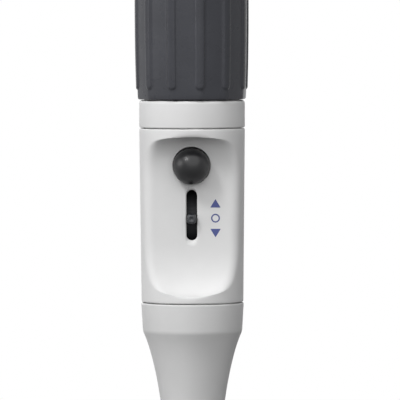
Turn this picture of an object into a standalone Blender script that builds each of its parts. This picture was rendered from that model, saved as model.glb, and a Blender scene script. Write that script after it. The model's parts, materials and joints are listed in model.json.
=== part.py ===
"""Hand-held pipette controller: a squeeze bulb on a casing with a thumb lever, a blow-out bulb and a screwed nose.

The long axis is +Z and the thumb side faces -Y. The origin is the centre of the nose's mouth, where a pipette
enters. All sizes are in metres.
"""

import math

import bmesh
import bpy
from mathutils import Matrix, Vector

# Fits
GAP = 0.0003
RUNNING_GAP = 0.0001
OVERLAP = 0.0006
OVERSHOOT = 0.003

# Facets round a turned piece
LARGE_STEPS = 32
MEDIUM_STEPS = 24
SMALL_STEPS = 16

# Heights along the body
NOSE_LENGTH = 0.0600
CASING_LENGTH = 0.0636
COLLAR_LENGTH = 0.0102
BULB_LENGTH = 0.0812

# Casing
WALL = 0.0018
CASING_TOP_RADIUS = 0.0192
CASING_TAPER = 0.0005
EDGE_RADIUS = 0.0005

# Thumb recess in the casing's front
RECESS_FLOOR_OFFSET = 0.00915
RECESS_TOP_DROP = 0.0029
RECESS_BOTTOM_RISE = 0.0032
RECESS_TOP_RUN = 0.0200
RECESS_BOTTOM_RUN = 0.0200
RECESS_TOP_POWER = 3.0
RECESS_BOTTOM_POWER = 3.0

# Suction bulb
BULB_WALL = 0.0022
BULB_BASE_STEP = 0.0003
BULB_BELLY = 0.0008
BULB_SHOULDER_STEP = 0.0009
BULB_NECK_STEP = 0.0008
BULB_DOME_HEIGHT = 0.0180
BULB_BELLY_RISE = 0.0380
RIB_COUNT = 12
RIB_WIDTH = 0.0038
RIB_HEIGHT = 0.0005
RIB_START_RISE = 0.0040
RIB_END_DROP = 0.0110
RIB_TURN = math.radians(9.8)

# Collar and carrier that hold the bulb
COLLAR_EDGE_RADIUS = 0.0011
COLLAR_LIP_WIDTH = 0.0030
COLLAR_LIP_HEIGHT = 0.0023
BULB_FOOT_WALL = 0.0023
BULB_FOOT_HEIGHT = 0.0052
CARRIER_PLATE = 0.0030
CARRIER_WALL = 0.0016
CARRIER_REGISTER = 0.0010
CARRIER_PLUG_HEIGHT = 0.0075
EXHAUST_PORT_COUNT = 6
EXHAUST_PORT_RADIUS = 0.0008
EXHAUST_PORT_CIRCLE = 0.0036
FLAP_RADIUS = 0.0054
FLAP_THICKNESS = 0.0008
FLAP_STEM_RADIUS = 0.0014

# Thumb lever
LEVER_DROP = 0.0326
PIVOT_DEPTH = 0.0136
LEVER_THICKNESS = 0.0034
LEVER_TIP_HEIGHT = 0.0037
LEVER_REACH = 0.0026
SHIELD_WIDTH = 0.0060
SHIELD_THICKNESS = 0.0012
SHIELD_HALF_ANGLE = math.radians(71)
HUB_RADIUS = 0.0026
HUB_WIDTH = 0.0074
PIN_RADIUS = 0.0010
SLOT_WIDTH = 0.0039
SLOT_LENGTH = 0.0178
SLOT_RISE = 0.0009

# Fork of the lever, and the valve spool that it shifts
CRANK_LENGTH = 0.0060
FORK_BALL_RADIUS = 0.0015
FORK_PRONG_THICKNESS = 0.0012
FORK_PRONG_WIDTH = 0.0011
SPOOL_RADIUS = 0.00275
SPOOL_WAIST_RADIUS = 0.0016
SPOOL_COLLAR_RADIUS = 0.0029
SPOOL_COLLAR_THICKNESS = 0.0016
SPOOL_TOP_REACH = 0.0135
SPOOL_BOTTOM_REACH = 0.0108
SEAL_WIRE_RADIUS = 0.0005
VACUUM_SEAL_HEIGHT = 0.0108
GUARD_SEAL_HEIGHT = 0.0082
VENT_SEAL_HEIGHT = -0.0084
SPRING_WIRE_RADIUS = 0.00025
SPRING_TURNS = 6
SPRING_POINTS_PER_TURN = 8

# Valve block
BLOCK_HALF_WIDTH = 0.0062
BLOCK_BACK_CLEARANCE = 0.0015
TOWER_WALL = 0.0013
TOWER_CLEARANCE = 0.00035
WINDOW_HALF_HEIGHT = 0.0056
WINDOW_HALF_WIDTH = 0.0038
FORK_SWING = 0.0018
EAR_THICKNESS = 0.0020
EAR_RADIUS = 0.0030
FOOT_THICKNESS = 0.0030
FOOT_FRONT = 0.0050
BLOCK_HEADROOM = 0.0111
CAP_DEPTH = 0.0025
CAP_HEAD = 0.0012
HOSE_NIPPLE_RADIUS = 0.0016
HOSE_NIPPLE_LENGTH = 0.0045
HOSE_BORE = 0.0008
HOSE_WALL = 0.0010
OUTLET_SPIGOT_RADIUS = 0.0023
OUTLET_SPIGOT_LENGTH = 0.0048
SCREW_SPACING = 0.0115
SCREW_SHANK_RADIUS = 0.00115
SCREW_HEAD_RADIUS = 0.0022
SCREW_HEAD_HEIGHT = 0.0014
SCREW_LENGTH = 0.0070
SCREW_SLOT_WIDTH = 0.0005
SCREW_SLOT_DEPTH = 0.0007

# Blow-out bulb
BLOW_BULB_RADIUS = 0.0068
BLOW_BULB_WALL = 0.0012
BLOW_BULB_DROP = 0.0133
BLOW_BULB_STANDOFF = 0.0020
BLOW_BULB_TRAVEL = 0.0030
BLOW_NECK_RADIUS = 0.0034
BLOW_NECK_REACH = 0.0110
BLOW_NIPPLE_RADIUS = 0.0020
BLOW_NIPPLE_BORE = 0.0009
BLOW_NIPPLE_REACH = 0.0072
CUP_WALL = 0.0015

# Casing base with the spigot that the nose screws onto
BASE_PLUG_HEIGHT = 0.0060
BASE_PLATE = 0.0050
SPIGOT_LENGTH = 0.0095
SPIGOT_STEP = 0.0010
SPIGOT_WALL = 0.0020
BOSS_RADIUS = 0.0046
BOSS_LENGTH = 0.0145
NOSE_SEAL_DROP = 0.0025

# Nose
NOSE_RIM_STEP = 0.00015
NOSE_RIM_TAPER = 0.00065
NOSE_SHOULDER_DROP = 0.0090
NOSE_SHOULDER_FILLET = 0.0060
NOSE_SHOULDER_STEP = 0.0008
NOSE_FLARE_DROP = 0.0110
NOSE_TIP_RADIUS = 0.0100
NOSE_FLARE_POWER = 2.28
NOSE_MOUTH_RADIUS = 0.0066
NOSE_LIP_HEIGHT = 0.0020
NOSE_LIP_FILLET = 0.0012

# Filter in the nose
FILTER_RADIUS = 0.0122
FILTER_SHELL = 0.0023
FILTER_RIM = 0.0010
FILTER_RECESS = 0.0005
MEMBRANE_THICKNESS = 0.00045
FILTER_NIPPLE_RADIUS = 0.0022
FILTER_NIPPLE_BORE = 0.0009
FILTER_INLET_LENGTH = 0.0092
FILTER_OUTLET_LENGTH = 0.0050
FILTER_DROP = 0.0030
FILTER_SEAL_RISE = 0.0018

# Soft adapter that grips the pipette, and its float
ADAPTER_RADIUS = 0.0080
ADAPTER_FLANGE_RADIUS = 0.0111
ADAPTER_FLANGE_HEIGHT = 0.0037
ADAPTER_SHOULDER_RUN = 0.0035
GRIP_MOUTH_RADIUS = 0.0052
GRIP_TOP_RADIUS = 0.0032
GRIP_LEDGE = 0.0010
FLOAT_CHAMBER_RADIUS = 0.0043
FLOAT_CHAMBER_HEIGHT = 0.0075
FLOAT_RADIUS = 0.0038
FLOAT_HEIGHT = 0.0048
FLOAT_THROAT_RADIUS = 0.0012
FLOAT_THROAT_LENGTH = 0.0020
FLOAT_SEAT_LENGTH = 0.0010

# Sizes across that follow from the casing
CASING_BOTTOM_RADIUS = CASING_TOP_RADIUS - CASING_TAPER
COLLAR_RADIUS = CASING_TOP_RADIUS
COLLAR_LIP_RADIUS = COLLAR_RADIUS - COLLAR_LIP_WIDTH
BULB_BASE_RADIUS = COLLAR_RADIUS + BULB_BASE_STEP
BULB_BELLY_RADIUS = BULB_BASE_RADIUS + BULB_BELLY
BULB_SHOULDER_RADIUS = BULB_BELLY_RADIUS - BULB_SHOULDER_STEP
BULB_NECK_RADIUS = COLLAR_RADIUS - BULB_NECK_STEP
BULB_FOOT_BORE = COLLAR_LIP_RADIUS - GAP - BULB_FOOT_WALL
SPIGOT_RADIUS = CASING_BOTTOM_RADIUS - WALL - SPIGOT_STEP
BLOCK_BACK = CASING_BOTTOM_RADIUS - WALL - BLOCK_BACK_CLEARANCE
NOSE_RIM_RADIUS = CASING_BOTTOM_RADIUS + NOSE_RIM_STEP
NOSE_SHOULDER_RADIUS = NOSE_RIM_RADIUS - NOSE_RIM_TAPER
NOSE_FLARE_RADIUS = NOSE_SHOULDER_RADIUS - NOSE_SHOULDER_STEP

# Heights that follow from the lengths
CASING_BOTTOM = NOSE_LENGTH
CASING_TOP = CASING_BOTTOM + CASING_LENGTH
COLLAR_TOP = CASING_TOP + COLLAR_LENGTH
BULB_BOTTOM = COLLAR_TOP + GAP
BULB_TOP = COLLAR_TOP + BULB_LENGTH
BULB_FOOT_BOTTOM = COLLAR_TOP - BULB_FOOT_HEIGHT
CARRIER_TOP = BULB_FOOT_BOTTOM - GAP
CARRIER_BOTTOM = CARRIER_TOP - CARRIER_PLATE
LEVER_Z = CASING_TOP - LEVER_DROP
SLOT_Z = LEVER_Z + SLOT_RISE
BLOW_BULB_Z = CASING_TOP - BLOW_BULB_DROP
BASE_TOP = CASING_BOTTOM + BASE_PLUG_HEIGHT
BLOCK_BOTTOM = BASE_TOP + GAP
FOOT_TOP = BLOCK_BOTTOM + FOOT_THICKNESS
BLOCK_TOP = CASING_TOP - BLOCK_HEADROOM
BORE_RADIUS = SPOOL_RADIUS + TOWER_CLEARANCE
TOWER_RADIUS = BORE_RADIUS + TOWER_WALL
BOSS_BORE = OUTLET_SPIGOT_RADIUS + GAP
BOSS_BOTTOM = BASE_TOP - BASE_PLATE - BOSS_LENGTH
FILTER_COVER_TOP = BOSS_BOTTOM - FILTER_DROP
FILTER_BOTTOM = FILTER_COVER_TOP - 2 * FILTER_SHELL - GAP
ADAPTER_TOP = FILTER_BOTTOM - GAP
ADAPTER_BOTTOM = NOSE_LIP_HEIGHT + GAP
FLANGE_BOTTOM = ADAPTER_TOP - ADAPTER_FLANGE_HEIGHT
SOCKET_BOTTOM = FILTER_BOTTOM - FILTER_OUTLET_LENGTH - GAP
CHAMBER_TOP = SOCKET_BOTTOM - FLOAT_THROAT_LENGTH - FLOAT_SEAT_LENGTH
CHAMBER_BOTTOM = CHAMBER_TOP - FLOAT_CHAMBER_HEIGHT
GRIP_TOP = CHAMBER_BOTTOM - GRIP_LEDGE

MATERIALS = {
    "light_plastic": ((0.62, 0.62, 0.60), 0.42),
    "bulb_silicone": ((0.055, 0.057, 0.062), 0.55),
    "black_plastic": ((0.012, 0.012, 0.014), 0.40),
    "black_rubber": ((0.020, 0.020, 0.022), 0.60),
    "natural_plastic": ((0.75, 0.75, 0.72), 0.45),
    "clear_silicone": ((0.70, 0.72, 0.72), 0.50),
    "membrane": ((0.85, 0.85, 0.85), 0.80),
    "steel": ((0.60, 0.60, 0.62), 0.30),
}
METALS = ("steel",)


def clear_scene():
    for item in list(bpy.data.objects):
        bpy.data.objects.remove(item)


def make_collection(name):
    collection = bpy.data.collections.new(name)
    bpy.context.scene.collection.children.link(collection)
    return collection


def make_material(name):
    colour, roughness = MATERIALS[name]
    material = bpy.data.materials.new(name)
    material.use_nodes = True
    shader = material.node_tree.nodes["Principled BSDF"]
    shader.inputs["Base Color"].default_value = (*colour, 1.0)
    shader.inputs["Roughness"].default_value = roughness
    shader.inputs["Metallic"].default_value = 1.0 if name in METALS else 0.0
    return material


def add(name, mesh, collection=None, matrix=None):
    """Links an object for this mesh, among the parts unless a collection is named."""
    item = bpy.data.objects.new(name, mesh)
    (collection or PARTS).objects.link(item)
    if matrix is not None:
        item.matrix_world = matrix
    return item


def as_helper(item):
    item.hide_render = True
    item.display_type = "WIRE"
    return item


def paint(item, material):
    item.data.materials.clear()
    item.data.materials.append(PALETTE[material])
    return item


def arc(centre_u, centre_v, radius, start, end, segments):
    """Points on a circle from one angle to another, both included."""
    turns = [start + (end - start) * i / segments for i in range(segments + 1)]
    return [(centre_u + radius * math.cos(a), centre_v + radius * math.sin(a)) for a in turns]


def rounded(points, segments=2):
    """The outline with each corner that carries a third value rounded to that radius."""
    result = []
    count = len(points)
    for i, point in enumerate(points):
        corner = Vector(point[:2])
        radius = point[2] if len(point) > 2 else 0.0
        before = Vector(points[i - 1][:2])
        after = Vector(points[(i + 1) % count][:2])
        towards_before = (before - corner).normalized()
        towards_after = (after - corner).normalized()
        half_turn = towards_before.angle(towards_after) / 2
        if radius <= 0.0 or half_turn > math.radians(89):
            result.append(tuple(corner))
            continue
        longest = 0.48 * min((before - corner).length, (after - corner).length)
        reach = min(radius / math.tan(half_turn), longest)
        used = reach * math.tan(half_turn)
        start = corner + towards_before * reach
        end = corner + towards_after * reach
        middle = corner + (towards_before + towards_after).normalized() * used / math.sin(half_turn)
        for step in range(segments + 1):
            share = step / segments
            spoke = (start - middle).lerp(end - middle, share).normalized() * used
            result.append(tuple(middle + spoke))
    return result


def runs_down_outside(outline):
    """True if this half-section goes round clockwise, seen with the radius to the right."""
    area = 0.0
    for (r0, z0), (r1, z1) in zip(outline, outline[1:] + outline[:1]):
        area += r0 * z1 - r1 * z0
    return area < 0


def turned(name, outline, steps, collection=None, matrix=None):
    """A piece turned about its own Z. An outline that starts and ends on the axis stays open there."""
    if not runs_down_outside(outline):
        outline = outline[::-1]
    mesh = bpy.data.meshes.new(name)
    count = len(outline)
    on_axis = outline[0][0] < 1e-9 and outline[-1][0] < 1e-9
    edges = [(i, i + 1) for i in range(count - 1)]
    if not on_axis:
        edges.append((count - 1, 0))
    mesh.from_pydata([(r, 0.0, z) for r, z in outline], edges, [])
    item = add(name, mesh, collection, matrix)
    screw = item.modifiers.new("Turn", "SCREW")
    screw.steps = steps
    screw.render_steps = steps
    screw.use_merge_vertices = True
    screw.merge_threshold = 0.00001
    screw.use_smooth_shade = False
    return item


def plate(name, outlines, thickness, matrix, collection=None):
    """A flat outline with its thickness along the local Z. Further outlines inside the first are holes."""
    curve = bpy.data.curves.new(name, "CURVE")
    curve.dimensions = "2D"
    curve.fill_mode = "BOTH"
    curve.extrude = thickness / 2
    for outline in outlines:
        spline = curve.splines.new("POLY")
        spline.points.add(len(outline) - 1)
        for point, (u, v) in zip(spline.points, outline):
            point.co = (u, v, 0.0, 1.0)
        spline.use_cyclic_u = True
    return baked_curve(name, curve, collection, matrix)


def wire(name, points, radius, collection=None, resolution=2):
    """A round wire along these points."""
    curve = bpy.data.curves.new(name, "CURVE")
    curve.dimensions = "3D"
    curve.bevel_depth = radius
    curve.bevel_resolution = resolution
    curve.use_fill_caps = True
    spline = curve.splines.new("POLY")
    spline.points.add(len(points) - 1)
    for point, place in zip(spline.points, points):
        point.co = (*place, 1.0)
    return baked_curve(name, curve, collection, Matrix.Identity(4))


def baked_curve(name, curve, collection, matrix):
    """The curve as a mesh object with its caps welded, which a Boolean can take."""
    source = bpy.data.objects.new(name + "_curve", curve)
    bpy.context.scene.collection.objects.link(source)
    source.matrix_world = matrix
    graph = bpy.context.evaluated_depsgraph_get()
    mesh = bpy.data.meshes.new_from_object(source.evaluated_get(graph))
    work = bmesh.new()
    work.from_mesh(mesh)
    bmesh.ops.remove_doubles(work, verts=work.verts, dist=0.000001)
    bmesh.ops.recalc_face_normals(work, faces=work.faces)
    work.to_mesh(mesh)
    work.free()
    bpy.data.objects.remove(source)
    return add(name, mesh, collection, matrix)


def block(name, low, high, collection=None):
    """A box between two corners."""
    mesh = bpy.data.meshes.new(name)
    work = bmesh.new()
    bmesh.ops.create_cube(work, size=1.0)
    size = Vector(high) - Vector(low)
    middle = (Vector(high) + Vector(low)) / 2
    bmesh.ops.scale(work, vec=size, verts=work.verts)
    bmesh.ops.translate(work, vec=middle, verts=work.verts)
    work.to_mesh(mesh)
    work.free()
    return add(name, mesh, collection)


def rod(name, start, end, radius, steps=SMALL_STEPS, collection=None):
    """A cylinder from one point to another."""
    start, end = Vector(start), Vector(end)
    mesh = bpy.data.meshes.new(name)
    work = bmesh.new()
    bmesh.ops.create_cone(
        work, cap_ends=True, segments=steps, radius1=radius, radius2=radius, depth=(end - start).length
    )
    turn = (end - start).to_track_quat("Z", "Y").to_matrix().to_4x4()
    bmesh.ops.transform(work, matrix=Matrix.Translation((start + end) / 2) @ turn, verts=work.verts)
    work.to_mesh(mesh)
    work.free()
    return add(name, mesh, collection)


def ball(name, centre, radius, collection=None):
    mesh = bpy.data.meshes.new(name)
    work = bmesh.new()
    bmesh.ops.create_uvsphere(work, u_segments=24, v_segments=14, radius=radius)
    bmesh.ops.translate(work, vec=centre, verts=work.verts)
    work.to_mesh(mesh)
    work.free()
    return add(name, mesh, collection)


def combine(item, operation, *others):
    """Adds one Boolean modifier for each helper."""
    for other in others:
        as_helper(other)
        modifier = item.modifiers.new(other.name, "BOOLEAN")
        modifier.operation = operation
        modifier.object = other
        modifier.solver = "EXACT"
    return item


def cut(item, *others):
    return combine(item, "DIFFERENCE", *others)


def join(item, *others):
    return combine(item, "UNION", *others)


def ring(name, radius, wire_radius, centre, steps):
    """A round seal that lies flat."""
    outline = arc(radius, 0.0, wire_radius, math.pi, -math.pi, 6)[:-1]
    return turned(name, outline, steps, matrix=Matrix.Translation(centre))


def stadium(width, length, segments=6):
    """A slot outline with round ends, standing along its second coordinate."""
    radius = width / 2
    straight = length / 2 - radius
    upper = arc(0.0, straight, radius, 0.0, math.pi, segments)
    lower = arc(0.0, -straight, radius, math.pi, 2 * math.pi, segments)
    return upper + lower


def side_view(x=0.0):
    """The frame whose local X, Y and Z are the object's Y, Z and X, for outlines drawn from the side."""
    return Matrix.Translation((x, 0.0, 0.0)) @ Matrix(((0, 0, 1), (1, 0, 0), (0, 1, 0))).to_4x4()


def front_view(y, z):
    """The frame whose local X, Y and Z are the object's X, Z and -Y, for outlines drawn from the front."""
    return Matrix.Translation((0.0, y, z)) @ Matrix.Rotation(math.radians(90), 4, "X")


def casing_radius(z):
    share = (z - CASING_BOTTOM) / CASING_LENGTH
    return CASING_BOTTOM_RADIUS + (CASING_TOP_RADIUS - CASING_BOTTOM_RADIUS) * share


def recess_depth(z):
    """How far the recess floor lies behind the casing's front at this height."""
    top = CASING_TOP - RECESS_TOP_DROP
    bottom = CASING_BOTTOM + RECESS_BOTTOM_RISE
    from_top = min(max((top - z) / RECESS_TOP_RUN, 0.0), 1.0)
    from_bottom = min(max((z - bottom) / RECESS_BOTTOM_RUN, 0.0), 1.0)
    upper = (1 - (1 - from_top) ** RECESS_TOP_POWER) ** (1 / RECESS_TOP_POWER)
    lower = (1 - (1 - from_bottom) ** RECESS_BOTTOM_POWER) ** (1 / RECESS_BOTTOM_POWER)
    return (casing_radius(z) - RECESS_FLOOR_OFFSET) * min(upper, lower)


def floor_y(z):
    """The recess floor's place on the Y axis at this height."""
    return recess_depth(z) - casing_radius(z)


def recess_cutter(name, offset):
    """The space in front of the recess floor, grown on all sides by this offset."""
    top = CASING_TOP - RECESS_TOP_DROP
    bottom = CASING_BOTTOM + RECESS_BOTTOM_RISE
    shares = (0.0, 0.004, 0.03, 0.09, 0.2, 0.38, 0.65, 1.0)
    heights = [top - RECESS_TOP_RUN * s for s in shares]
    heights += [bottom + RECESS_BOTTOM_RUN * s for s in (1.0, 0.8, 0.6, 0.42, 0.27, 0.14, 0.05, 0.0)]
    floor = [Vector((floor_y(z), z)) for z in heights]
    grown = []
    for i, point in enumerate(floor):
        before = floor[max(i - 1, 0)]
        after = floor[min(i + 1, len(floor) - 1)]
        along = (after - before).normalized()
        inward = Vector((-along.y, along.x))
        if i in (0, len(floor) - 1):
            inward = Vector((0.0, 1.0 if i == 0 else -1.0))
        grown.append(tuple(point + inward * offset))
    outside = -(CASING_TOP_RADIUS + OVERSHOOT)
    outline = [(outside, grown[0][1]), *grown, (outside, grown[-1][1])]
    return plate(name, [outline], 4 * CASING_TOP_RADIUS, side_view(), CUTTERS)


def blow_bulb_y():
    """The blow-out bulb's centre on the Y axis, at rest."""
    return floor_y(BLOW_BULB_Z) - BLOW_BULB_STANDOFF


def make_casing():
    bottom, top = CASING_BOTTOM, CASING_TOP
    outer = rounded(
        [
            (0.0, top),
            (CASING_TOP_RADIUS, top, EDGE_RADIUS),
            (CASING_BOTTOM_RADIUS, bottom, EDGE_RADIUS),
            (0.0, bottom),
        ],
        segments=2,
    )
    casing = turned("casing", outer, LARGE_STEPS)
    cavity_outline = [
        (0.0, top + OVERSHOOT),
        (CASING_TOP_RADIUS - WALL, top + OVERSHOOT),
        (CASING_TOP_RADIUS - WALL, top),
        (CASING_BOTTOM_RADIUS - WALL, bottom),
        (CASING_BOTTOM_RADIUS - WALL, bottom - OVERSHOOT),
        (0.0, bottom - OVERSHOOT),
    ]
    cavity = turned("casing_cavity", cavity_outline, LARGE_STEPS, CUTTERS)
    cup_centre = (0.0, blow_bulb_y() + BLOW_BULB_TRAVEL, BLOW_BULB_Z)
    cup_radius = BLOW_BULB_RADIUS + GAP
    cut(
        cavity,
        recess_cutter("recess_back", WALL),
        ball("cup_back", cup_centre, cup_radius + CUP_WALL, CUTTERS),
    )
    well_outline = [(0.0, 2 * cup_radius), (cup_radius, 2 * cup_radius)]
    well_outline += arc(0.0, 0.0, cup_radius, 0.0, -math.pi / 2, 7)
    well_outline[-1] = (0.0, -cup_radius)
    well = turned(
        "blow_bulb_well", well_outline, MEDIUM_STEPS, CUTTERS, front_view(cup_centre[1], BLOW_BULB_Z)
    )
    neck_hole = rod(
        "blow_neck_hole",
        (0.0, cup_centre[1], BLOW_BULB_Z),
        (0.0, cup_centre[1] + cup_radius + 2 * CUP_WALL, BLOW_BULB_Z),
        BLOW_NECK_RADIUS + GAP,
        SMALL_STEPS,
        CUTTERS,
    )
    slot_y = floor_y(SLOT_Z) + WALL / 2
    slot = plate(
        "lever_slot", [stadium(SLOT_WIDTH, SLOT_LENGTH)], 3 * WALL, front_view(slot_y, SLOT_Z), CUTTERS
    )
    cut(
        casing,
        recess_cutter("recess", 0.0),
        cavity,
        well,
        neck_hole,
        slot,
    )
    return paint(casing, "light_plastic")


def barrel_radius(z):
    """The suction bulb's outer radius between its base and the start of its dome."""
    belly = BULB_BOTTOM + BULB_BELLY_RISE
    dome = BULB_TOP - BULB_DOME_HEIGHT
    if z < belly:
        end_radius, share = BULB_BASE_RADIUS, (belly - z) / BULB_BELLY_RISE
    else:
        end_radius, share = BULB_SHOULDER_RADIUS, (z - belly) / (dome - belly)
    return BULB_BELLY_RADIUS - (BULB_BELLY_RADIUS - end_radius) * share**2


def dome_point(angle, inset):
    """A point of the bulb's dome, at an angle above its widest level."""
    radius = (BULB_SHOULDER_RADIUS - inset) * math.cos(angle)
    return (max(radius, 0.0), BULB_TOP - BULB_DOME_HEIGHT + (BULB_DOME_HEIGHT - inset) * math.sin(angle))


def bulb_surface(inset, barrel_points, dome_points):
    """The half-section from the top of the dome down to the barrel's lower end."""
    dome = [dome_point(math.pi / 2 * (1 - i / dome_points), inset) for i in range(dome_points + 1)]
    low = BULB_BOTTOM + RIB_START_RISE
    high = BULB_TOP - BULB_DOME_HEIGHT
    heights = [high + (low - high) * i / barrel_points for i in range(1, barrel_points + 1)]
    return dome + [(barrel_radius(z) - inset, z) for z in heights]


def make_suction_bulb():
    outer = bulb_surface(0.0, 5, 5)
    inner = bulb_surface(BULB_WALL, 3, 4)
    foot_top = BULB_BOTTOM
    waist = COLLAR_LIP_RADIUS - GAP
    bead = COLLAR_RADIUS - WALL - GAP
    bead_top = COLLAR_TOP - COLLAR_LIP_HEIGHT - GAP
    foot = rounded(
        [
            (BULB_BASE_RADIUS, BULB_BOTTOM + 0.0026),
            (BULB_BASE_RADIUS - 0.0002, BULB_BOTTOM + 0.0010, 0.0010),
            (BULB_NECK_RADIUS, BULB_BOTTOM + 0.0008, 0.0003),
            (BULB_NECK_RADIUS, foot_top),
            (waist, foot_top),
            (waist, bead_top),
            (bead, bead_top, 0.0004),
            (bead, BULB_FOOT_BOTTOM, 0.0004),
            (BULB_FOOT_BORE, BULB_FOOT_BOTTOM),
            (BULB_FOOT_BORE, BULB_BOTTOM + BULB_WALL),
        ],
        segments=2,
    )
    bulb = turned("suction_bulb", outer + foot + inner[::-1], LARGE_STEPS)
    return paint(join(bulb, make_ribs()), "bulb_silicone")


def make_ribs():
    """The raised grip ribs: the bulb's own surface, lifted, and kept only inside a slot shape for each rib."""
    lifted = bulb_surface(-RIB_HEIGHT, 5, 5)
    sunk = bulb_surface(BULB_WALL / 2, 5, 5)
    ribs = turned("ribs", lifted + sunk[::-1], LARGE_STEPS, CUTTERS)
    low = BULB_BOTTOM + RIB_START_RISE + OVERLAP
    high = BULB_TOP - RIB_END_DROP
    length = high - low
    outline = stadium(RIB_WIDTH, length, segments=4)
    moulds = bmesh.new()
    for i in range(RIB_COUNT):
        turn = Matrix.Rotation(RIB_TURN + 2 * math.pi * i / RIB_COUNT, 4, "Z")
        place = turn @ front_view(-BULB_BELLY_RADIUS, (low + high) / 2)
        single = plate("rib_mould", [outline], 0.5 * BULB_BELLY_RADIUS, place, CUTTERS)
        single.data.transform(single.matrix_world)
        moulds.from_mesh(single.data)
        bpy.data.objects.remove(single)
    mesh = bpy.data.meshes.new("rib_moulds")
    moulds.to_mesh(mesh)
    moulds.free()
    combine(ribs, "INTERSECT", add("rib_moulds", mesh, CUTTERS))
    return ribs


def make_collar():
    bottom = CASING_TOP + GAP
    inner = COLLAR_RADIUS - WALL
    lip_bottom = COLLAR_TOP - COLLAR_LIP_HEIGHT
    outline = rounded(
        [
            (COLLAR_RADIUS, COLLAR_TOP, COLLAR_EDGE_RADIUS),
            (COLLAR_RADIUS, bottom, EDGE_RADIUS),
            (inner, bottom),
            (inner, lip_bottom),
            (COLLAR_LIP_RADIUS, lip_bottom),
            (COLLAR_LIP_RADIUS, COLLAR_TOP),
        ]
    )
    return paint(turned("bulb_collar", outline, LARGE_STEPS), "light_plastic")


def make_carrier():
    """The plate inside the collar that plugs the bulb, with the exhaust ports and the hose nipple."""
    rim = COLLAR_RADIUS - WALL - GAP
    plug = BULB_FOOT_BORE - GAP
    plug_top = CARRIER_TOP + CARRIER_PLUG_HEIGHT
    skirt_bottom = CASING_TOP - CARRIER_REGISTER
    stem_hole = FLAP_STEM_RADIUS + GAP
    outline = rounded(
        [
            (rim, CARRIER_TOP),
            (rim, skirt_bottom),
            (rim - CARRIER_WALL, skirt_bottom),
            (rim - CARRIER_WALL, CARRIER_BOTTOM),
            (stem_hole, CARRIER_BOTTOM),
            (stem_hole, CARRIER_TOP),
            (plug - CARRIER_WALL, CARRIER_TOP),
            (plug - CARRIER_WALL, plug_top),
            (plug, plug_top, 0.0005),
            (plug, CARRIER_TOP),
        ],
        segments=2,
    )
    carrier = turned("bulb_carrier", outline, MEDIUM_STEPS)
    hose_y = spool_y()
    tube_bottom = CARRIER_BOTTOM - HOSE_NIPPLE_LENGTH
    join(
        carrier,
        rod(
            "carrier_nipple",
            (0.0, hose_y, tube_bottom),
            (0.0, hose_y, CARRIER_BOTTOM + OVERLAP),
            HOSE_NIPPLE_RADIUS,
            SMALL_STEPS,
            CUTTERS,
        ),
    )
    cut(
        carrier,
        rod(
            "carrier_bore",
            (0.0, hose_y, tube_bottom - OVERSHOOT),
            (0.0, hose_y, CARRIER_TOP + OVERSHOOT),
            HOSE_BORE,
            12,
            CUTTERS,
        ),
    )
    for i in range(EXHAUST_PORT_COUNT):
        angle = 2 * math.pi * (i + 0.5) / EXHAUST_PORT_COUNT
        x, y = EXHAUST_PORT_CIRCLE * math.cos(angle), EXHAUST_PORT_CIRCLE * math.sin(angle)
        port = rod(
            f"exhaust_port_{i + 1}",
            (x, y, CARRIER_BOTTOM - OVERSHOOT),
            (x, y, CARRIER_TOP + OVERSHOOT),
            EXHAUST_PORT_RADIUS,
            8,
            CUTTERS,
        )
        cut(carrier, port)
    return paint(carrier, "natural_plastic")


def make_exhaust_valve():
    """An umbrella valve: its flap closes the ports from below, and its bead holds it from above."""
    flap_top = CARRIER_BOTTOM - GAP
    bead_bottom = CARRIER_TOP + GAP
    outline = rounded(
        [
            (0.0, bead_bottom + 0.0022),
            (0.0007, bead_bottom + 0.0022),
            (1.6 * FLAP_STEM_RADIUS, bead_bottom + 0.0004, 0.0003),
            (1.6 * FLAP_STEM_RADIUS, bead_bottom),
            (FLAP_STEM_RADIUS, bead_bottom),
            (FLAP_STEM_RADIUS, flap_top),
            (FLAP_RADIUS, flap_top),
            (FLAP_RADIUS, flap_top - 0.4 * FLAP_THICKNESS),
            (0.4 * FLAP_RADIUS, flap_top - 1.5 * FLAP_THICKNESS),
            (0.0, flap_top - 1.5 * FLAP_THICKNESS),
        ],
        segments=2,
    )
    return paint(turned("exhaust_valve", outline, SMALL_STEPS), "clear_silicone")


def pivot_y():
    """The lever pin's place on the Y axis."""
    return floor_y(LEVER_Z) + PIVOT_DEPTH


def spool_y():
    return pivot_y() + CRANK_LENGTH


def from_pivot(points):
    """Points given from the lever's pivot, forward and up, as side-view points of the object."""
    return [(pivot_y() - forward, LEVER_Z + up) for forward, up in points]


def polar(radius, angle):
    return (radius * math.cos(angle), radius * math.sin(angle))


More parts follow.
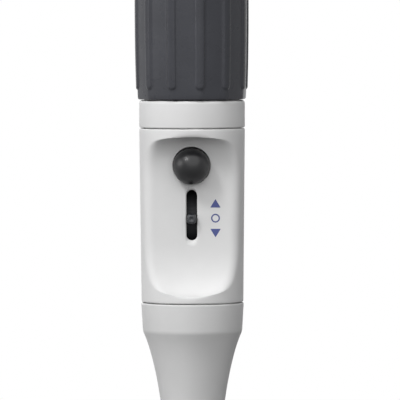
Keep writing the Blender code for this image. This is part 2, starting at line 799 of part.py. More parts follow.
def make_lever():
    """The thumb lever: a tip, a web and a curved shield behind the slot, a hub, and a fork towards the spool."""
    shield_outer = PIVOT_DEPTH - WALL - GAP
    shield_inner = shield_outer - SHIELD_THICKNESS
    half = SHIELD_HALF_ANGLE
    steps = 16
    turns = [half - 2 * half * i / steps for i in range(steps + 1)]
    band = [polar(shield_outer, a) for a in turns] + [polar(shield_inner, a) for a in turns[::-1]]
    lever = plate("pipetting_lever", [from_pivot(band)], SHIELD_WIDTH, side_view(), None)
    web_radius = shield_inner + SHIELD_THICKNESS / 2
    spread = 0.82 * half
    sector = [polar(web_radius, spread - 2 * spread * i / 10) for i in range(11)]
    sector += [(0.0, -0.8 * HUB_RADIUS), (0.0, 0.8 * HUB_RADIUS)]
    web = plate("lever_web", [from_pivot(sector)], LEVER_THICKNESS, side_view(), CUTTERS)
    tip = PIVOT_DEPTH + LEVER_REACH
    half_tip = LEVER_TIP_HEIGHT / 2
    bar = rounded(
        [
            (web_radius, half_tip),
            (tip, half_tip, 0.0016),
            (tip, -half_tip, 0.0016),
            (web_radius, -half_tip),
        ]
    )
    thumb_tip = plate("lever_tip", [from_pivot(bar)], LEVER_THICKNESS, side_view(), CUTTERS)
    hub = rod(
        "lever_hub",
        (-HUB_WIDTH / 2, pivot_y(), LEVER_Z),
        (HUB_WIDTH / 2, pivot_y(), LEVER_Z),
        HUB_RADIUS,
        SMALL_STEPS,
        CUTTERS,
    )
    join(lever, web, thumb_tip, hub)
    prong_inner = SPOOL_WAIST_RADIUS + GAP
    for side, sign in (("left", -1), ("right", 1)):
        near, far = sorted((sign * prong_inner, sign * (prong_inner + FORK_PRONG_WIDTH)))
        half_thickness = FORK_PRONG_THICKNESS / 2
        prong = block(
            f"fork_prong_{side}",
            (near, pivot_y(), LEVER_Z - half_thickness),
            (far, spool_y(), LEVER_Z + half_thickness),
            CUTTERS,
        )
        pad = rod(
            f"fork_pad_{side}",
            (near - 0.2 * RUNNING_GAP, spool_y(), LEVER_Z),
            (far + 0.2 * RUNNING_GAP, spool_y(), LEVER_Z),
            FORK_BALL_RADIUS,
            SMALL_STEPS,
            CUTTERS,
        )
        join(lever, prong, pad)
    bore = rod(
        "lever_bore",
        (-HUB_WIDTH, pivot_y(), LEVER_Z),
        (HUB_WIDTH, pivot_y(), LEVER_Z),
        PIN_RADIUS + RUNNING_GAP,
        SMALL_STEPS,
        CUTTERS,
    )
    return paint(cut(lever, bore), "black_plastic")


def make_lever_pin():
    end = HUB_WIDTH / 2 + GAP + EAR_THICKNESS
    pin = rod("lever_pin", (-end, pivot_y(), LEVER_Z), (end, pivot_y(), LEVER_Z), PIN_RADIUS, SMALL_STEPS)
    return paint(pin, "steel")


def make_spool():
    """The sliding valve stem, with a seal groove at each land and two collars that the fork moves between."""
    radius = SPOOL_RADIUS
    groove = radius - 1.5 * SEAL_WIRE_RADIUS
    half_groove = SEAL_WIRE_RADIUS + RUNNING_GAP
    fork_half_gap = FORK_BALL_RADIUS + RUNNING_GAP
    collar = fork_half_gap + SPOOL_COLLAR_THICKNESS
    outline = [(0.0, SPOOL_TOP_REACH), (0.7 * radius, SPOOL_TOP_REACH), (radius, SPOOL_TOP_REACH - 0.0006)]
    for height in (VACUUM_SEAL_HEIGHT, GUARD_SEAL_HEIGHT):
        outline += groove_points(radius, groove, height, half_groove)
    outline += [
        (radius, WINDOW_HALF_HEIGHT),
        (SPOOL_WAIST_RADIUS, collar + 0.0006),
        (SPOOL_WAIST_RADIUS, collar),
        (SPOOL_COLLAR_RADIUS, collar),
        (SPOOL_COLLAR_RADIUS, fork_half_gap),
        (SPOOL_WAIST_RADIUS, fork_half_gap),
        (SPOOL_WAIST_RADIUS, -fork_half_gap),
        (SPOOL_COLLAR_RADIUS, -fork_half_gap),
        (SPOOL_COLLAR_RADIUS, -collar),
        (SPOOL_WAIST_RADIUS, -collar),
        (SPOOL_WAIST_RADIUS, -collar - 0.0006),
        (radius, -WINDOW_HALF_HEIGHT),
    ]
    outline += groove_points(radius, groove, VENT_SEAL_HEIGHT, half_groove)
    outline += [
        (radius, 0.0006 - SPOOL_BOTTOM_REACH),
        (0.7 * radius, -SPOOL_BOTTOM_REACH),
        (0.0, -SPOOL_BOTTOM_REACH),
    ]
    place = Matrix.Translation((0.0, spool_y(), LEVER_Z))
    return paint(turned("valve_spool", outline, SMALL_STEPS, matrix=place), "natural_plastic")


def groove_points(radius, floor_radius, height, half_width):
    return [
        (radius, height + half_width),
        (floor_radius, height + half_width),
        (floor_radius, height - half_width),
        (radius, height - half_width),
    ]


def make_spool_seals():
    outer = BORE_RADIUS - RUNNING_GAP
    radius = outer - SEAL_WIRE_RADIUS
    heights = {
        "spool_seal_vacuum": VACUUM_SEAL_HEIGHT,
        "spool_seal_guard": GUARD_SEAL_HEIGHT,
        "spool_seal_vent": VENT_SEAL_HEIGHT,
    }
    for name, height in heights.items():
        centre = (0.0, spool_y(), LEVER_Z + height)
        paint(ring(name, radius, SEAL_WIRE_RADIUS, centre, SMALL_STEPS), "black_rubber")


def make_springs():
    """The two coil springs that centre the spool, one in each end of the bore."""
    radius = BORE_RADIUS - SPRING_WIRE_RADIUS - 2 * RUNNING_GAP
    ends = {
        "spool_spring_upper": (LEVER_Z + SPOOL_TOP_REACH, BLOCK_TOP - CAP_DEPTH),
        "spool_spring_lower": (BLOCK_BOTTOM + CAP_DEPTH, LEVER_Z - SPOOL_BOTTOM_REACH),
    }
    count = SPRING_TURNS * SPRING_POINTS_PER_TURN
    for name, (low, high) in ends.items():
        low += GAP + SPRING_WIRE_RADIUS
        high -= GAP + SPRING_WIRE_RADIUS
        points = []
        for i in range(count + 1):
            angle = 2 * math.pi * i / SPRING_POINTS_PER_TURN
            x, y = radius * math.cos(angle), spool_y() + radius * math.sin(angle)
            points.append((x, y, low + (high - low) * i / count))
        paint(wire(name, points, SPRING_WIRE_RADIUS), "steel")


def make_valve_block():
    """The moulded block behind the lever: two bored towers for the spool, ears for the lever pin and a foot."""
    axis_y = spool_y()
    front = axis_y - TOWER_RADIUS
    body = block(
        "valve_block",
        (-BLOCK_HALF_WIDTH, axis_y - 0.5 * TOWER_RADIUS, BLOCK_BOTTOM),
        (BLOCK_HALF_WIDTH, BLOCK_BACK, BLOCK_TOP),
    )
    tower = rod(
        "block_tower", (0, axis_y, BLOCK_BOTTOM), (0, axis_y, BLOCK_TOP), TOWER_RADIUS, SMALL_STEPS, CUTTERS
    )
    foot_radius = CASING_BOTTOM_RADIUS - WALL - 2 * GAP
    foot = rod(
        "block_foot", (0, 0, BLOCK_BOTTOM), (0, 0, FOOT_TOP), foot_radius, MEDIUM_STEPS, CUTTERS
    )
    foot_trim = block(
        "block_foot_trim",
        (-2 * foot_radius, -2 * foot_radius, BLOCK_BOTTOM - OVERSHOOT),
        (2 * foot_radius, -FOOT_FRONT, FOOT_TOP + OVERSHOOT),
        CUTTERS,
    )
    cut(foot, foot_trim)
    outlet = rod(
        "block_outlet",
        (0, 0, BLOCK_BOTTOM - OUTLET_SPIGOT_LENGTH),
        (0, 0, BLOCK_BOTTOM + OVERLAP),
        OUTLET_SPIGOT_RADIUS,
        SMALL_STEPS,
        CUTTERS,
    )
    nipple = rod(
        "blow_nipple",
        (0, blow_bulb_y() + BLOW_NIPPLE_REACH, BLOW_BULB_Z),
        (0, front + 0.5 * TOWER_WALL, BLOW_BULB_Z),
        BLOW_NIPPLE_RADIUS,
        SMALL_STEPS,
        CUTTERS,
    )
    join(body, tower, foot, outlet, nipple)
    ear_inner = HUB_WIDTH / 2 + GAP
    for side, sign in (("left", -1), ("right", 1)):
        tongue = [polar(EAR_RADIUS, math.pi / 2 - math.pi * i / 8) for i in range(9)]
        root = -(CRANK_LENGTH - 0.4 * TOWER_RADIUS)
        tongue += [(root, -EAR_RADIUS), (root, EAR_RADIUS)]
        x = sign * (ear_inner + EAR_THICKNESS / 2)
        ear = plate(f"block_ear_{side}", [from_pivot(tongue)], EAR_THICKNESS, side_view(x), CUTTERS)
        join(body, ear)
    window = block(
        "block_window",
        (-WINDOW_HALF_WIDTH, front - OVERSHOOT, LEVER_Z - WINDOW_HALF_HEIGHT),
        (WINDOW_HALF_WIDTH, axis_y + FORK_BALL_RADIUS + FORK_SWING, LEVER_Z + WINDOW_HALF_HEIGHT),
        CUTTERS,
    )
    spool_bore = rod(
        "spool_bore",
        (0, axis_y, BLOCK_BOTTOM - OVERSHOOT),
        (0, axis_y, BLOCK_TOP + OVERSHOOT),
        BORE_RADIUS,
        SMALL_STEPS,
        CUTTERS,
    )
    pin_reach = ear_inner + EAR_THICKNESS + OVERSHOOT
    pin_hole = rod(
        "pin_hole",
        (-pin_reach, pivot_y(), LEVER_Z),
        (pin_reach, pivot_y(), LEVER_Z),
        PIN_RADIUS + RUNNING_GAP,
        SMALL_STEPS,
        CUTTERS,
    )
    outlet_bore = rod(
        "outlet_bore",
        (0, 0, BLOCK_BOTTOM - OUTLET_SPIGOT_LENGTH - OVERSHOOT),
        (0, 0, FOOT_TOP - OVERLAP),
        HOSE_BORE,
        12,
        CUTTERS,
    )
    nipple_bore = rod(
        "nipple_bore",
        (0, blow_bulb_y(), BLOW_BULB_Z),
        (0, axis_y, BLOW_BULB_Z),
        BLOW_NIPPLE_BORE,
        12,
        CUTTERS,
    )
    cut(body, window, spool_bore, pin_hole, outlet_bore, nipple_bore, outlet_groove())
    for side, sign in (("left", -1), ("right", 1)):
        x = sign * SCREW_SPACING
        hole = rod(
            f"foot_hole_{side}",
            (x, 0, BLOCK_BOTTOM - OVERSHOOT),
            (x, 0, FOOT_TOP + OVERSHOOT),
            SCREW_SHANK_RADIUS + GAP,
            12,
            CUTTERS,
        )
        cut(body, hole)
    return paint(body, "black_plastic")


def outlet_seal_z():
    return BLOCK_BOTTOM - 0.5 * OUTLET_SPIGOT_LENGTH


def outlet_groove():
    """The seal groove round the block's outlet."""
    inner = BOSS_BORE - 2 * (SEAL_WIRE_RADIUS + RUNNING_GAP)
    half = SEAL_WIRE_RADIUS + RUNNING_GAP
    outer = OUTLET_SPIGOT_RADIUS + OVERLAP
    outline = [(outer, half), (outer, -half), (inner, -half), (inner, half)]
    place = Matrix.Translation((0.0, 0.0, outlet_seal_z()))
    return turned("outlet_groove", outline, SMALL_STEPS, CUTTERS, place)


def make_outlet_seal():
    radius = BOSS_BORE - RUNNING_GAP - SEAL_WIRE_RADIUS
    seal = ring("outlet_seal", radius, SEAL_WIRE_RADIUS, (0, 0, outlet_seal_z()), SMALL_STEPS)
    return paint(seal, "black_rubber")


def make_caps():
    """The plugs that close the spool bore. The upper one carries the hose nipple."""
    plug = BORE_RADIUS - RUNNING_GAP
    head = TOWER_RADIUS - 2 * GAP
    head_bottom = BLOCK_TOP + GAP
    nipple_top = head_bottom + CAP_HEAD + HOSE_NIPPLE_LENGTH
    upper = [
        (HOSE_NIPPLE_RADIUS, nipple_top),
        (HOSE_NIPPLE_RADIUS, head_bottom + CAP_HEAD),
        (head, head_bottom + CAP_HEAD),
        (head, head_bottom),
        (plug, head_bottom),
        (plug, BLOCK_TOP - CAP_DEPTH),
        (HOSE_BORE, BLOCK_TOP - CAP_DEPTH),
        (HOSE_BORE, nipple_top),
    ]
    place = Matrix.Translation((0.0, spool_y(), 0.0))
    paint(turned("vacuum_cap", upper, SMALL_STEPS, matrix=place), "natural_plastic")
    lower = [
        (0.0, BLOCK_BOTTOM + CAP_DEPTH),
        (plug, BLOCK_BOTTOM + CAP_DEPTH),
        (plug, BLOCK_BOTTOM),
        (0.0, BLOCK_BOTTOM),
    ]
    paint(turned("spool_bore_plug", lower, SMALL_STEPS, matrix=place), "natural_plastic")


def make_vacuum_hose():
    """The short hose from the carrier down to the upper cap."""
    low = BLOCK_TOP + GAP + CAP_HEAD + GAP
    high = CARRIER_BOTTOM - GAP
    inner = HOSE_NIPPLE_RADIUS + RUNNING_GAP
    outer = inner + HOSE_WALL
    outline = [(outer, high), (outer, low), (inner, low), (inner, high)]
    place = Matrix.Translation((0.0, spool_y(), 0.0))
    return paint(turned("vacuum_hose", outline, SMALL_STEPS, matrix=place), "clear_silicone")


def make_screws():
    """The two screws that hold the valve block's foot to the casing base."""
    seat = FOOT_TOP + RUNNING_GAP
    for side, sign in (("left", -1), ("right", 1)):
        outline = rounded(
            [
                (0.0, SCREW_HEAD_HEIGHT),
                (SCREW_HEAD_RADIUS, SCREW_HEAD_HEIGHT, 0.0006),
                (SCREW_HEAD_RADIUS, 0.0),
                (SCREW_SHANK_RADIUS, 0.0),
                (SCREW_SHANK_RADIUS, 0.0006 - SCREW_LENGTH),
                (0.4 * SCREW_SHANK_RADIUS, -SCREW_LENGTH),
                (0.0, -SCREW_LENGTH),
            ],
            segments=2,
        )
        x = sign * SCREW_SPACING
        screw = turned(f"block_screw_{side}", outline, 12, matrix=Matrix.Translation((x, 0.0, seat)))
        slot = block(
            f"screw_slot_{side}",
            (x - SCREW_SLOT_WIDTH / 2, -SCREW_HEAD_RADIUS - OVERSHOOT, seat + SCREW_HEAD_HEIGHT - SCREW_SLOT_DEPTH),
            (x + SCREW_SLOT_WIDTH / 2, SCREW_HEAD_RADIUS + OVERSHOOT, seat + SCREW_HEAD_HEIGHT + OVERSHOOT),
            CUTTERS,
        )
        paint(cut(screw, slot), "steel")


def make_blow_out_bulb():
    """The small thumb bulb: a hollow ball with a neck that slides on the block's nipple. Its top faces -Y."""
    radius = BLOW_BULB_RADIUS
    inner = radius - BLOW_BULB_WALL
    neck_inner = BLOW_NIPPLE_RADIUS + GAP
    outer_end = -math.acos(BLOW_NECK_RADIUS / radius)
    inner_end = -math.acos(neck_inner / inner)
    outline = arc(0.0, 0.0, radius, math.pi / 2, outer_end, 10)
    outline += [(BLOW_NECK_RADIUS, -BLOW_NECK_REACH), (neck_inner, -BLOW_NECK_REACH)]
    outline += arc(0.0, 0.0, inner, inner_end, math.pi / 2, 7)
    outline[0] = (0.0, radius)
    outline[-1] = (0.0, inner)
    bulb = turned("blow_out_bulb", outline, MEDIUM_STEPS, matrix=front_view(blow_bulb_y(), BLOW_BULB_Z))
    return paint(bulb, "black_rubber")


def nose_seal_z():
    return CASING_BOTTOM - NOSE_SEAL_DROP


def make_casing_base():
    """The plug in the casing's lower end, with the spigot for the nose and the bored boss for the filter."""
    plug = CASING_BOTTOM_RADIUS - WALL - GAP
    plate_bottom = BASE_TOP - BASE_PLATE
    spigot_bottom = CASING_BOTTOM - SPIGOT_LENGTH
    groove = SPIGOT_RADIUS + GAP - RUNNING_GAP - 2 * SEAL_WIRE_RADIUS - RUNNING_GAP
    half_groove = SEAL_WIRE_RADIUS + RUNNING_GAP
    outline = [(plug, BASE_TOP), (plug, CASING_BOTTOM), (SPIGOT_RADIUS, CASING_BOTTOM)]
    outline += groove_points(SPIGOT_RADIUS, groove, nose_seal_z(), half_groove)
    outline += [
        (SPIGOT_RADIUS, spigot_bottom),
        (SPIGOT_RADIUS - SPIGOT_WALL, spigot_bottom),
        (SPIGOT_RADIUS - SPIGOT_WALL, plate_bottom),
        (BOSS_RADIUS, plate_bottom),
        (BOSS_RADIUS, BOSS_BOTTOM),
        (BOSS_BORE, BOSS_BOTTOM),
        (BOSS_BORE, filter_seal_z() - half_groove),
        (FILTER_NIPPLE_RADIUS + 2 * (SEAL_WIRE_RADIUS + RUNNING_GAP), filter_seal_z() - half_groove),
        (FILTER_NIPPLE_RADIUS + 2 * (SEAL_WIRE_RADIUS + RUNNING_GAP), filter_seal_z() + half_groove),
        (BOSS_BORE, filter_seal_z() + half_groove),
        (BOSS_BORE, BASE_TOP),
    ]
    base = turned("casing_base", outline, LARGE_STEPS)
    cut(base, recess_cutter("recess_clearance", WALL + GAP))
    for side, sign in (("left", -1), ("right", 1)):
        x = sign * SCREW_SPACING
        hole = rod(
            f"base_hole_{side}",
            (x, 0, FOOT_TOP - SCREW_LENGTH - GAP),
            (x, 0, BASE_TOP + OVERSHOOT),
            SCREW_SHANK_RADIUS + RUNNING_GAP,
            12,
            CUTTERS,
        )
        cut(base, hole)
    return paint(base, "natural_plastic")


def make_nose_seal():
    outer = SPIGOT_RADIUS + GAP - RUNNING_GAP
    seal = ring(
        "nose_seal", outer - SEAL_WIRE_RADIUS, SEAL_WIRE_RADIUS, (0, 0, nose_seal_z()), LARGE_STEPS
    )
    return paint(seal, "black_rubber")


def flare_radius(z):
    """The nose's outer radius below its shoulder."""
    share = z / (NOSE_LENGTH - NOSE_FLARE_DROP)
    return NOSE_TIP_RADIUS + (NOSE_FLARE_RADIUS - NOSE_TIP_RADIUS) * share**NOSE_FLARE_POWER


def make_nose():
    top = NOSE_LENGTH - GAP
    shoulder_z = NOSE_LENGTH - NOSE_SHOULDER_DROP
    flare_top = NOSE_LENGTH - NOSE_FLARE_DROP
    levels = (1.0, 0.85, 0.7, 0.55, 0.4, 0.22)
    flare = [(flare_radius(flare_top * s), flare_top * s) for s in levels]
    bore = SPIGOT_RADIUS + GAP
    bore_bottom = CASING_BOTTOM - SPIGOT_LENGTH - GAP
    filter_bore = FILTER_RADIUS + GAP
    seat_z = ADAPTER_TOP - 2 * GAP
    outline = rounded(
        [
            (NOSE_RIM_RADIUS, top, EDGE_RADIUS),
            (NOSE_SHOULDER_RADIUS, shoulder_z, NOSE_SHOULDER_FILLET),
            *flare,
            (NOSE_TIP_RADIUS, 0.0, NOSE_LIP_FILLET),
            (NOSE_MOUTH_RADIUS, 0.0, 0.5 * NOSE_LIP_FILLET),
            (NOSE_MOUTH_RADIUS, NOSE_LIP_HEIGHT),
            (ADAPTER_RADIUS + GAP, NOSE_LIP_HEIGHT),
            (ADAPTER_RADIUS + GAP, FLANGE_BOTTOM - ADAPTER_SHOULDER_RUN - GAP),
            (ADAPTER_FLANGE_RADIUS + GAP, FLANGE_BOTTOM - GAP),
            (ADAPTER_FLANGE_RADIUS + GAP, seat_z - 0.0010),
            (filter_bore, seat_z),
            (filter_bore, bore_bottom - 0.0030),
            (bore, bore_bottom),
            (bore, top),
        ]
    )
    return paint(turned("nose_cone", outline, LARGE_STEPS), "light_plastic")


def make_filter():
    """The disc filter: a base shell, the membrane, and a cover shell with the inlet nipple."""
    bottom = FILTER_BOTTOM
    rim_top = bottom + FILTER_SHELL
    recess_radius = FILTER_RADIUS - FILTER_RIM
    base = rounded(
        [
            (FILTER_RADIUS, rim_top),
            (FILTER_RADIUS, bottom, EDGE_RADIUS),
            (FILTER_NIPPLE_RADIUS, bottom),
            (FILTER_NIPPLE_RADIUS, bottom - FILTER_OUTLET_LENGTH),
            (FILTER_NIPPLE_BORE, bottom - FILTER_OUTLET_LENGTH),
            (FILTER_NIPPLE_BORE, rim_top - FILTER_RECESS),
            (recess_radius, rim_top - FILTER_RECESS),
            (recess_radius, rim_top),
        ],
        segments=2,
    )
    paint(turned("filter_base", base, SMALL_STEPS), "natural_plastic")
    low = rim_top - FILTER_RECESS + GAP
    high = low + MEMBRANE_THICKNESS
    disc = recess_radius - GAP
    paint(turned("membrane_filter", [(0, high), (disc, high), (disc, low), (0, low)], SMALL_STEPS), "membrane")
    cover_bottom = rim_top + GAP
    ceiling = high + GAP
    cover_top = FILTER_COVER_TOP
    nipple_top = cover_top + FILTER_INLET_LENGTH
    cover = rounded(
        [
            (FILTER_NIPPLE_RADIUS, nipple_top),
            (FILTER_NIPPLE_RADIUS, cover_top),
            (FILTER_RADIUS, cover_top, EDGE_RADIUS),
            (FILTER_RADIUS, cover_bottom),
            (recess_radius, cover_bottom),
            (recess_radius, max(ceiling, cover_bottom + FILTER_RECESS)),
            (FILTER_NIPPLE_BORE, max(ceiling, cover_bottom + FILTER_RECESS)),
            (FILTER_NIPPLE_BORE, nipple_top),
        ],
        segments=2,
    )
    paint(turned("filter_cover", cover, SMALL_STEPS), "natural_plastic")


def make_adapter():
    """The soft sleeve in the nose, with its tapered grip for the pipette and the chamber of the float."""
    bottom, top = ADAPTER_BOTTOM, ADAPTER_TOP
    socket = FILTER_NIPPLE_RADIUS + GAP
    outline = rounded(
        [
            (ADAPTER_FLANGE_RADIUS, top, 0.0006),
            (ADAPTER_FLANGE_RADIUS, FLANGE_BOTTOM),
            (ADAPTER_RADIUS, FLANGE_BOTTOM - ADAPTER_SHOULDER_RUN),
            (ADAPTER_RADIUS, bottom, 0.0008),
            (GRIP_MOUTH_RADIUS, bottom, 0.0006),
            (GRIP_TOP_RADIUS, GRIP_TOP),
            (GRIP_TOP_RADIUS - 0.0002, CHAMBER_BOTTOM),
            (FLOAT_CHAMBER_RADIUS, CHAMBER_BOTTOM),
            (FLOAT_CHAMBER_RADIUS, CHAMBER_TOP),
            (FLOAT_THROAT_RADIUS, CHAMBER_TOP + FLOAT_SEAT_LENGTH),
            (FLOAT_THROAT_RADIUS, SOCKET_BOTTOM),
            (socket, SOCKET_BOTTOM),
            (socket, top),
        ],
        segments=2,
    )
    return paint(turned("pipette_adapter", outline, MEDIUM_STEPS), "clear_silicone")


def make_float():
    """The float that shuts the throat if liquid rises past the pipette."""
    low = CHAMBER_BOTTOM + RUNNING_GAP
    high = low + FLOAT_HEIGHT
    outline = [
        (0.0, high + 0.0006),
        (0.6 * FLOAT_THROAT_RADIUS, high + 0.0006),
        (FLOAT_RADIUS - 0.0008, high),
        (FLOAT_RADIUS, high - 0.0008),
        (FLOAT_RADIUS, low + 0.0004),
        (FLOAT_RADIUS - 0.0004, low),
        (0.0, low),
    ]
    return paint(turned("check_valve_float", outline, SMALL_STEPS), "natural_plastic")


def filter_seal_z():
    return BOSS_BOTTOM + FILTER_SEAL_RISE


def make_filter_seal():
    """The ring in the boss that seals the filter's inlet nipple."""
    radius = FILTER_NIPPLE_RADIUS + RUNNING_GAP + SEAL_WIRE_RADIUS
    seal = ring("filter_inlet_seal", radius, SEAL_WIRE_RADIUS, (0, 0, filter_seal_z()), SMALL_STEPS)
    return paint(seal, "black_rubber")


def shade_all():
    """Smooth shading with sharp edges kept, on every piece that is turned or rounded."""
    graph = bpy.context.evaluated_depsgraph_get()
    for item in PARTS.objects:
        if item.evaluated_get(graph).data.polygons:
            item.data.shade_smooth()


clear_scene()
PARTS = make_collection("pipette_controller")
CUTTERS = make_collection("cutters")
PALETTE = {name: make_material(name) for name in MATERIALS}
make_casing()
make_suction_bulb()
make_collar()
make_carrier()
make_exhaust_valve()
make_lever()
make_lever_pin()
make_spool()
make_spool_seals()
make_springs()
make_valve_block()
make_outlet_seal()
make_caps()
make_vacuum_hose()
make_screws()
make_blow_out_bulb()
make_casing_base()
make_nose_seal()
make_nose()
make_filter()
make_adapter()
make_float()
make_filter_seal()
shade_all()
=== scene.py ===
"""The looks of the hand-held pipette controller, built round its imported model. All sizes are in metres."""

import json
import math

import bmesh
import bpy
import numpy as np
from mathutils import Matrix, Vector


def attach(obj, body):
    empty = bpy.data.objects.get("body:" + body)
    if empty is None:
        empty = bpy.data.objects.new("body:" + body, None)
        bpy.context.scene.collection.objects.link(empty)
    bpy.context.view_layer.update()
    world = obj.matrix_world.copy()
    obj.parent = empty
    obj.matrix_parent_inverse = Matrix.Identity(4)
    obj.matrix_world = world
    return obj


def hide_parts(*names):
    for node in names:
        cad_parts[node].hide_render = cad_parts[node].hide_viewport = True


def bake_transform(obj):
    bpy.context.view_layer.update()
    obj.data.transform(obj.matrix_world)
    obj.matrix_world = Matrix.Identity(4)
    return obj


MM = 0.001

# Casing and collar
CASING_BOTTOM = 60.0 * MM
CASING_TOP = 123.6 * MM
CASING_BOTTOM_RADIUS = 18.5 * MM
CASING_TOP_RADIUS = 19.2 * MM
CASING_RIM = 0.5 * MM
WALL = 1.8 * MM
COLLAR_TOP = 133.8 * MM
GAP = 0.3 * MM
SEAM_RISE = 0.5 * MM  # the seam over the nose sits this much higher than in the CAD, as in the photograph

# Thumb recess. Its floor lies at the offset from the casing's axis, and rises to the surface over the run
# at each end. The powers shape that rise and the slopes carry it on. The radii curve the two ends across
RECESS_FLOOR_OFFSET = 9.15 * MM
RECESS_TOP = CASING_TOP - 2.9 * MM
RECESS_BOTTOM = CASING_BOTTOM + 3.2 * MM
RECESS_RUN = 20.0 * MM
RECESS_TOP_POWER = 2.7
RECESS_BOTTOM_POWER = 2.5
RECESS_TOP_SLOPE = 1.3
RECESS_BOTTOM_SLOPE = 2.0
RECESS_ARCH_RADIUS = 80.0 * MM
RECESS_END_RADIUS = 40.0 * MM
RECESS_EDGE = 2.3 * MM

# Lever and its slot. The depth and the reach are measured back and forward from the recess floor
LEVER_Z = 91.0 * MM
PIVOT_DEPTH = 13.6 * MM
LEVER_REACH = 2.6 * MM
SLOT_Z = LEVER_Z + 1.25 * MM
SLOT_WIDTH = 3.9 * MM
SLOT_LENGTH = 18.2 * MM
SLOT_LIP = 2.6 * MM

# Blow-out bulb. Its centre stands off in front of the recess floor, and the gap is between it and its well
BLOW_BULB_Z = CASING_BOTTOM + 50.3 * MM
BLOW_BULB_RADIUS = 6.65 * MM
BLOW_BULB_STANDOFF = 2.0 * MM
BLOW_BULB_TRAVEL = 3.0 * MM
WELL_GAP = 0.27 * MM

# Squeeze bulb. The ribs' angles are in degrees, and the first rib's is from the front
BULB_BOTTOM = COLLAR_TOP + GAP
BULB_TOP = 215.0 * MM
BULB_FOOT_BOTTOM = COLLAR_TOP - 5.2 * MM
BULB_SKIN = 2.2 * MM
DOME_HEIGHT = 18.0 * MM
DOME_BOTTOM = BULB_TOP - DOME_HEIGHT
DOME_RADIUS = 19.4 * MM
RIBS = 12
RIB_PITCH = 30.0
FIRST_RIB = 9.8
RIB_CIRCLE = 20.3 * MM

# The printed blue marks
INK_HEIGHT = 0.02 * MM

# Meshes. The crease is the angle in degrees from which an edge stays sharp
CREASE = 32.0
MERGE_DISTANCE = 0.004 * MM
SLIVER_WIDTH = 0.002 * MM

# Studio. The camera sees the floor's colour, and the object gets its weaker bounce. The floor turns white
# between the two fade distances from the object
WORLD_STRENGTH = 0.03
FLOOR_SIZE = 40.0
FLOOR_Z = -0.1 * MM
FLOOR_COLOUR = (0.62, 0.62, 0.62, 1)
FLOOR_BOUNCE = (0.10, 0.10, 0.10, 1)
FADE_START = 0.16
FADE_END = 0.34
LAMP_DISTANCE = 2.2
# Each lamp's name, degrees to the right of the camera, degrees above level, width in metres
# and power in watts
LAMPS = (
    ("key", -44, 47, 0.55, 19.0),
    ("front", 8, 38, 4.0, 59.0),
    ("left", -78, 14, 1.0, 14.5),
    ("back_left", -158, 25, 1.0, 8.0),
    ("back", 180, 40, 2.0, 17.0),
)


def srgb(red, green, blue):
    """A colour given as it shows on screen, as linear values."""
    values = [v / 255 for v in (red, green, blue)]
    return tuple(v / 12.92 if v <= 0.04045 else ((v + 0.055) / 1.055) ** 2.4 for v in values)


class Shader:
    """A node material that is built step by step."""

    def __init__(self, name):
        self.material = bpy.data.materials.new(name)
        self.material.use_nodes = True
        self.nodes = self.material.node_tree.nodes
        self.links = self.material.node_tree.links
        self.principled = self.nodes["Principled BSDF"]
        self.place = self.nodes.new("ShaderNodeTexCoord").outputs["Object"]

    def set(self, **values):
        for key, value in values.items():
            self.principled.inputs[key.replace("_", " ")].default_value = value
        return self

    def noise(self, scale, detail):
        texture = self.nodes.new("ShaderNodeTexNoise")
        texture.inputs["Scale"].default_value = scale
        texture.inputs["Detail"].default_value = detail
        self.links.new(self.place, texture.inputs["Vector"])
        return texture.outputs["Fac"]

    def ramp(self, source, low, high, target):
        """Sends a factor through a ramp between two colours into one of the shader's sockets."""
        ramp = self.nodes.new("ShaderNodeValToRGB")
        for element, position, colour in zip(ramp.color_ramp.elements, (0.35, 0.65), (low, high)):
            element.position = position
            element.color = (*colour, 1)
        self.links.new(source, ramp.inputs["Fac"])
        self.links.new(ramp.outputs["Color"], self.principled.inputs[target])

    def mottle(self, colour, spread, scale):
        """Base colour that drifts a little about the given one."""
        low = tuple(c * (1 - spread) for c in colour)
        high = tuple(min(c * (1 + spread), 1.0) for c in colour)
        self.ramp(self.noise(scale, 4.0), low, high, "Base Color")

    def vary_roughness(self, low, high, scale):
        self.ramp(self.noise(scale, 3.0), (low, low, low), (high, high, high), "Roughness")

    def grain(self, scale, strength, depth):
        """A fine grain of bumps in the surface."""
        bump = self.nodes.new("ShaderNodeBump")
        bump.inputs["Strength"].default_value = strength
        bump.inputs["Distance"].default_value = depth
        self.links.new(self.noise(scale, 2.0), bump.inputs["Height"])
        self.links.new(bump.outputs["Normal"], self.principled.inputs["Normal"])


def moulded(name, colour, roughness, grain=1800.0, depth=0.012, spread=0.015):
    """Moulded plastic or rubber with a fine spark-eroded grain. The grain's depth is in millimetres."""
    shader = Shader(name)
    shader.mottle(srgb(*colour), spread, scale=90.0)
    shader.vary_roughness(roughness - 0.05, roughness + 0.05, scale=160.0)
    shader.grain(grain, strength=0.35, depth=depth * MM)
    return shader


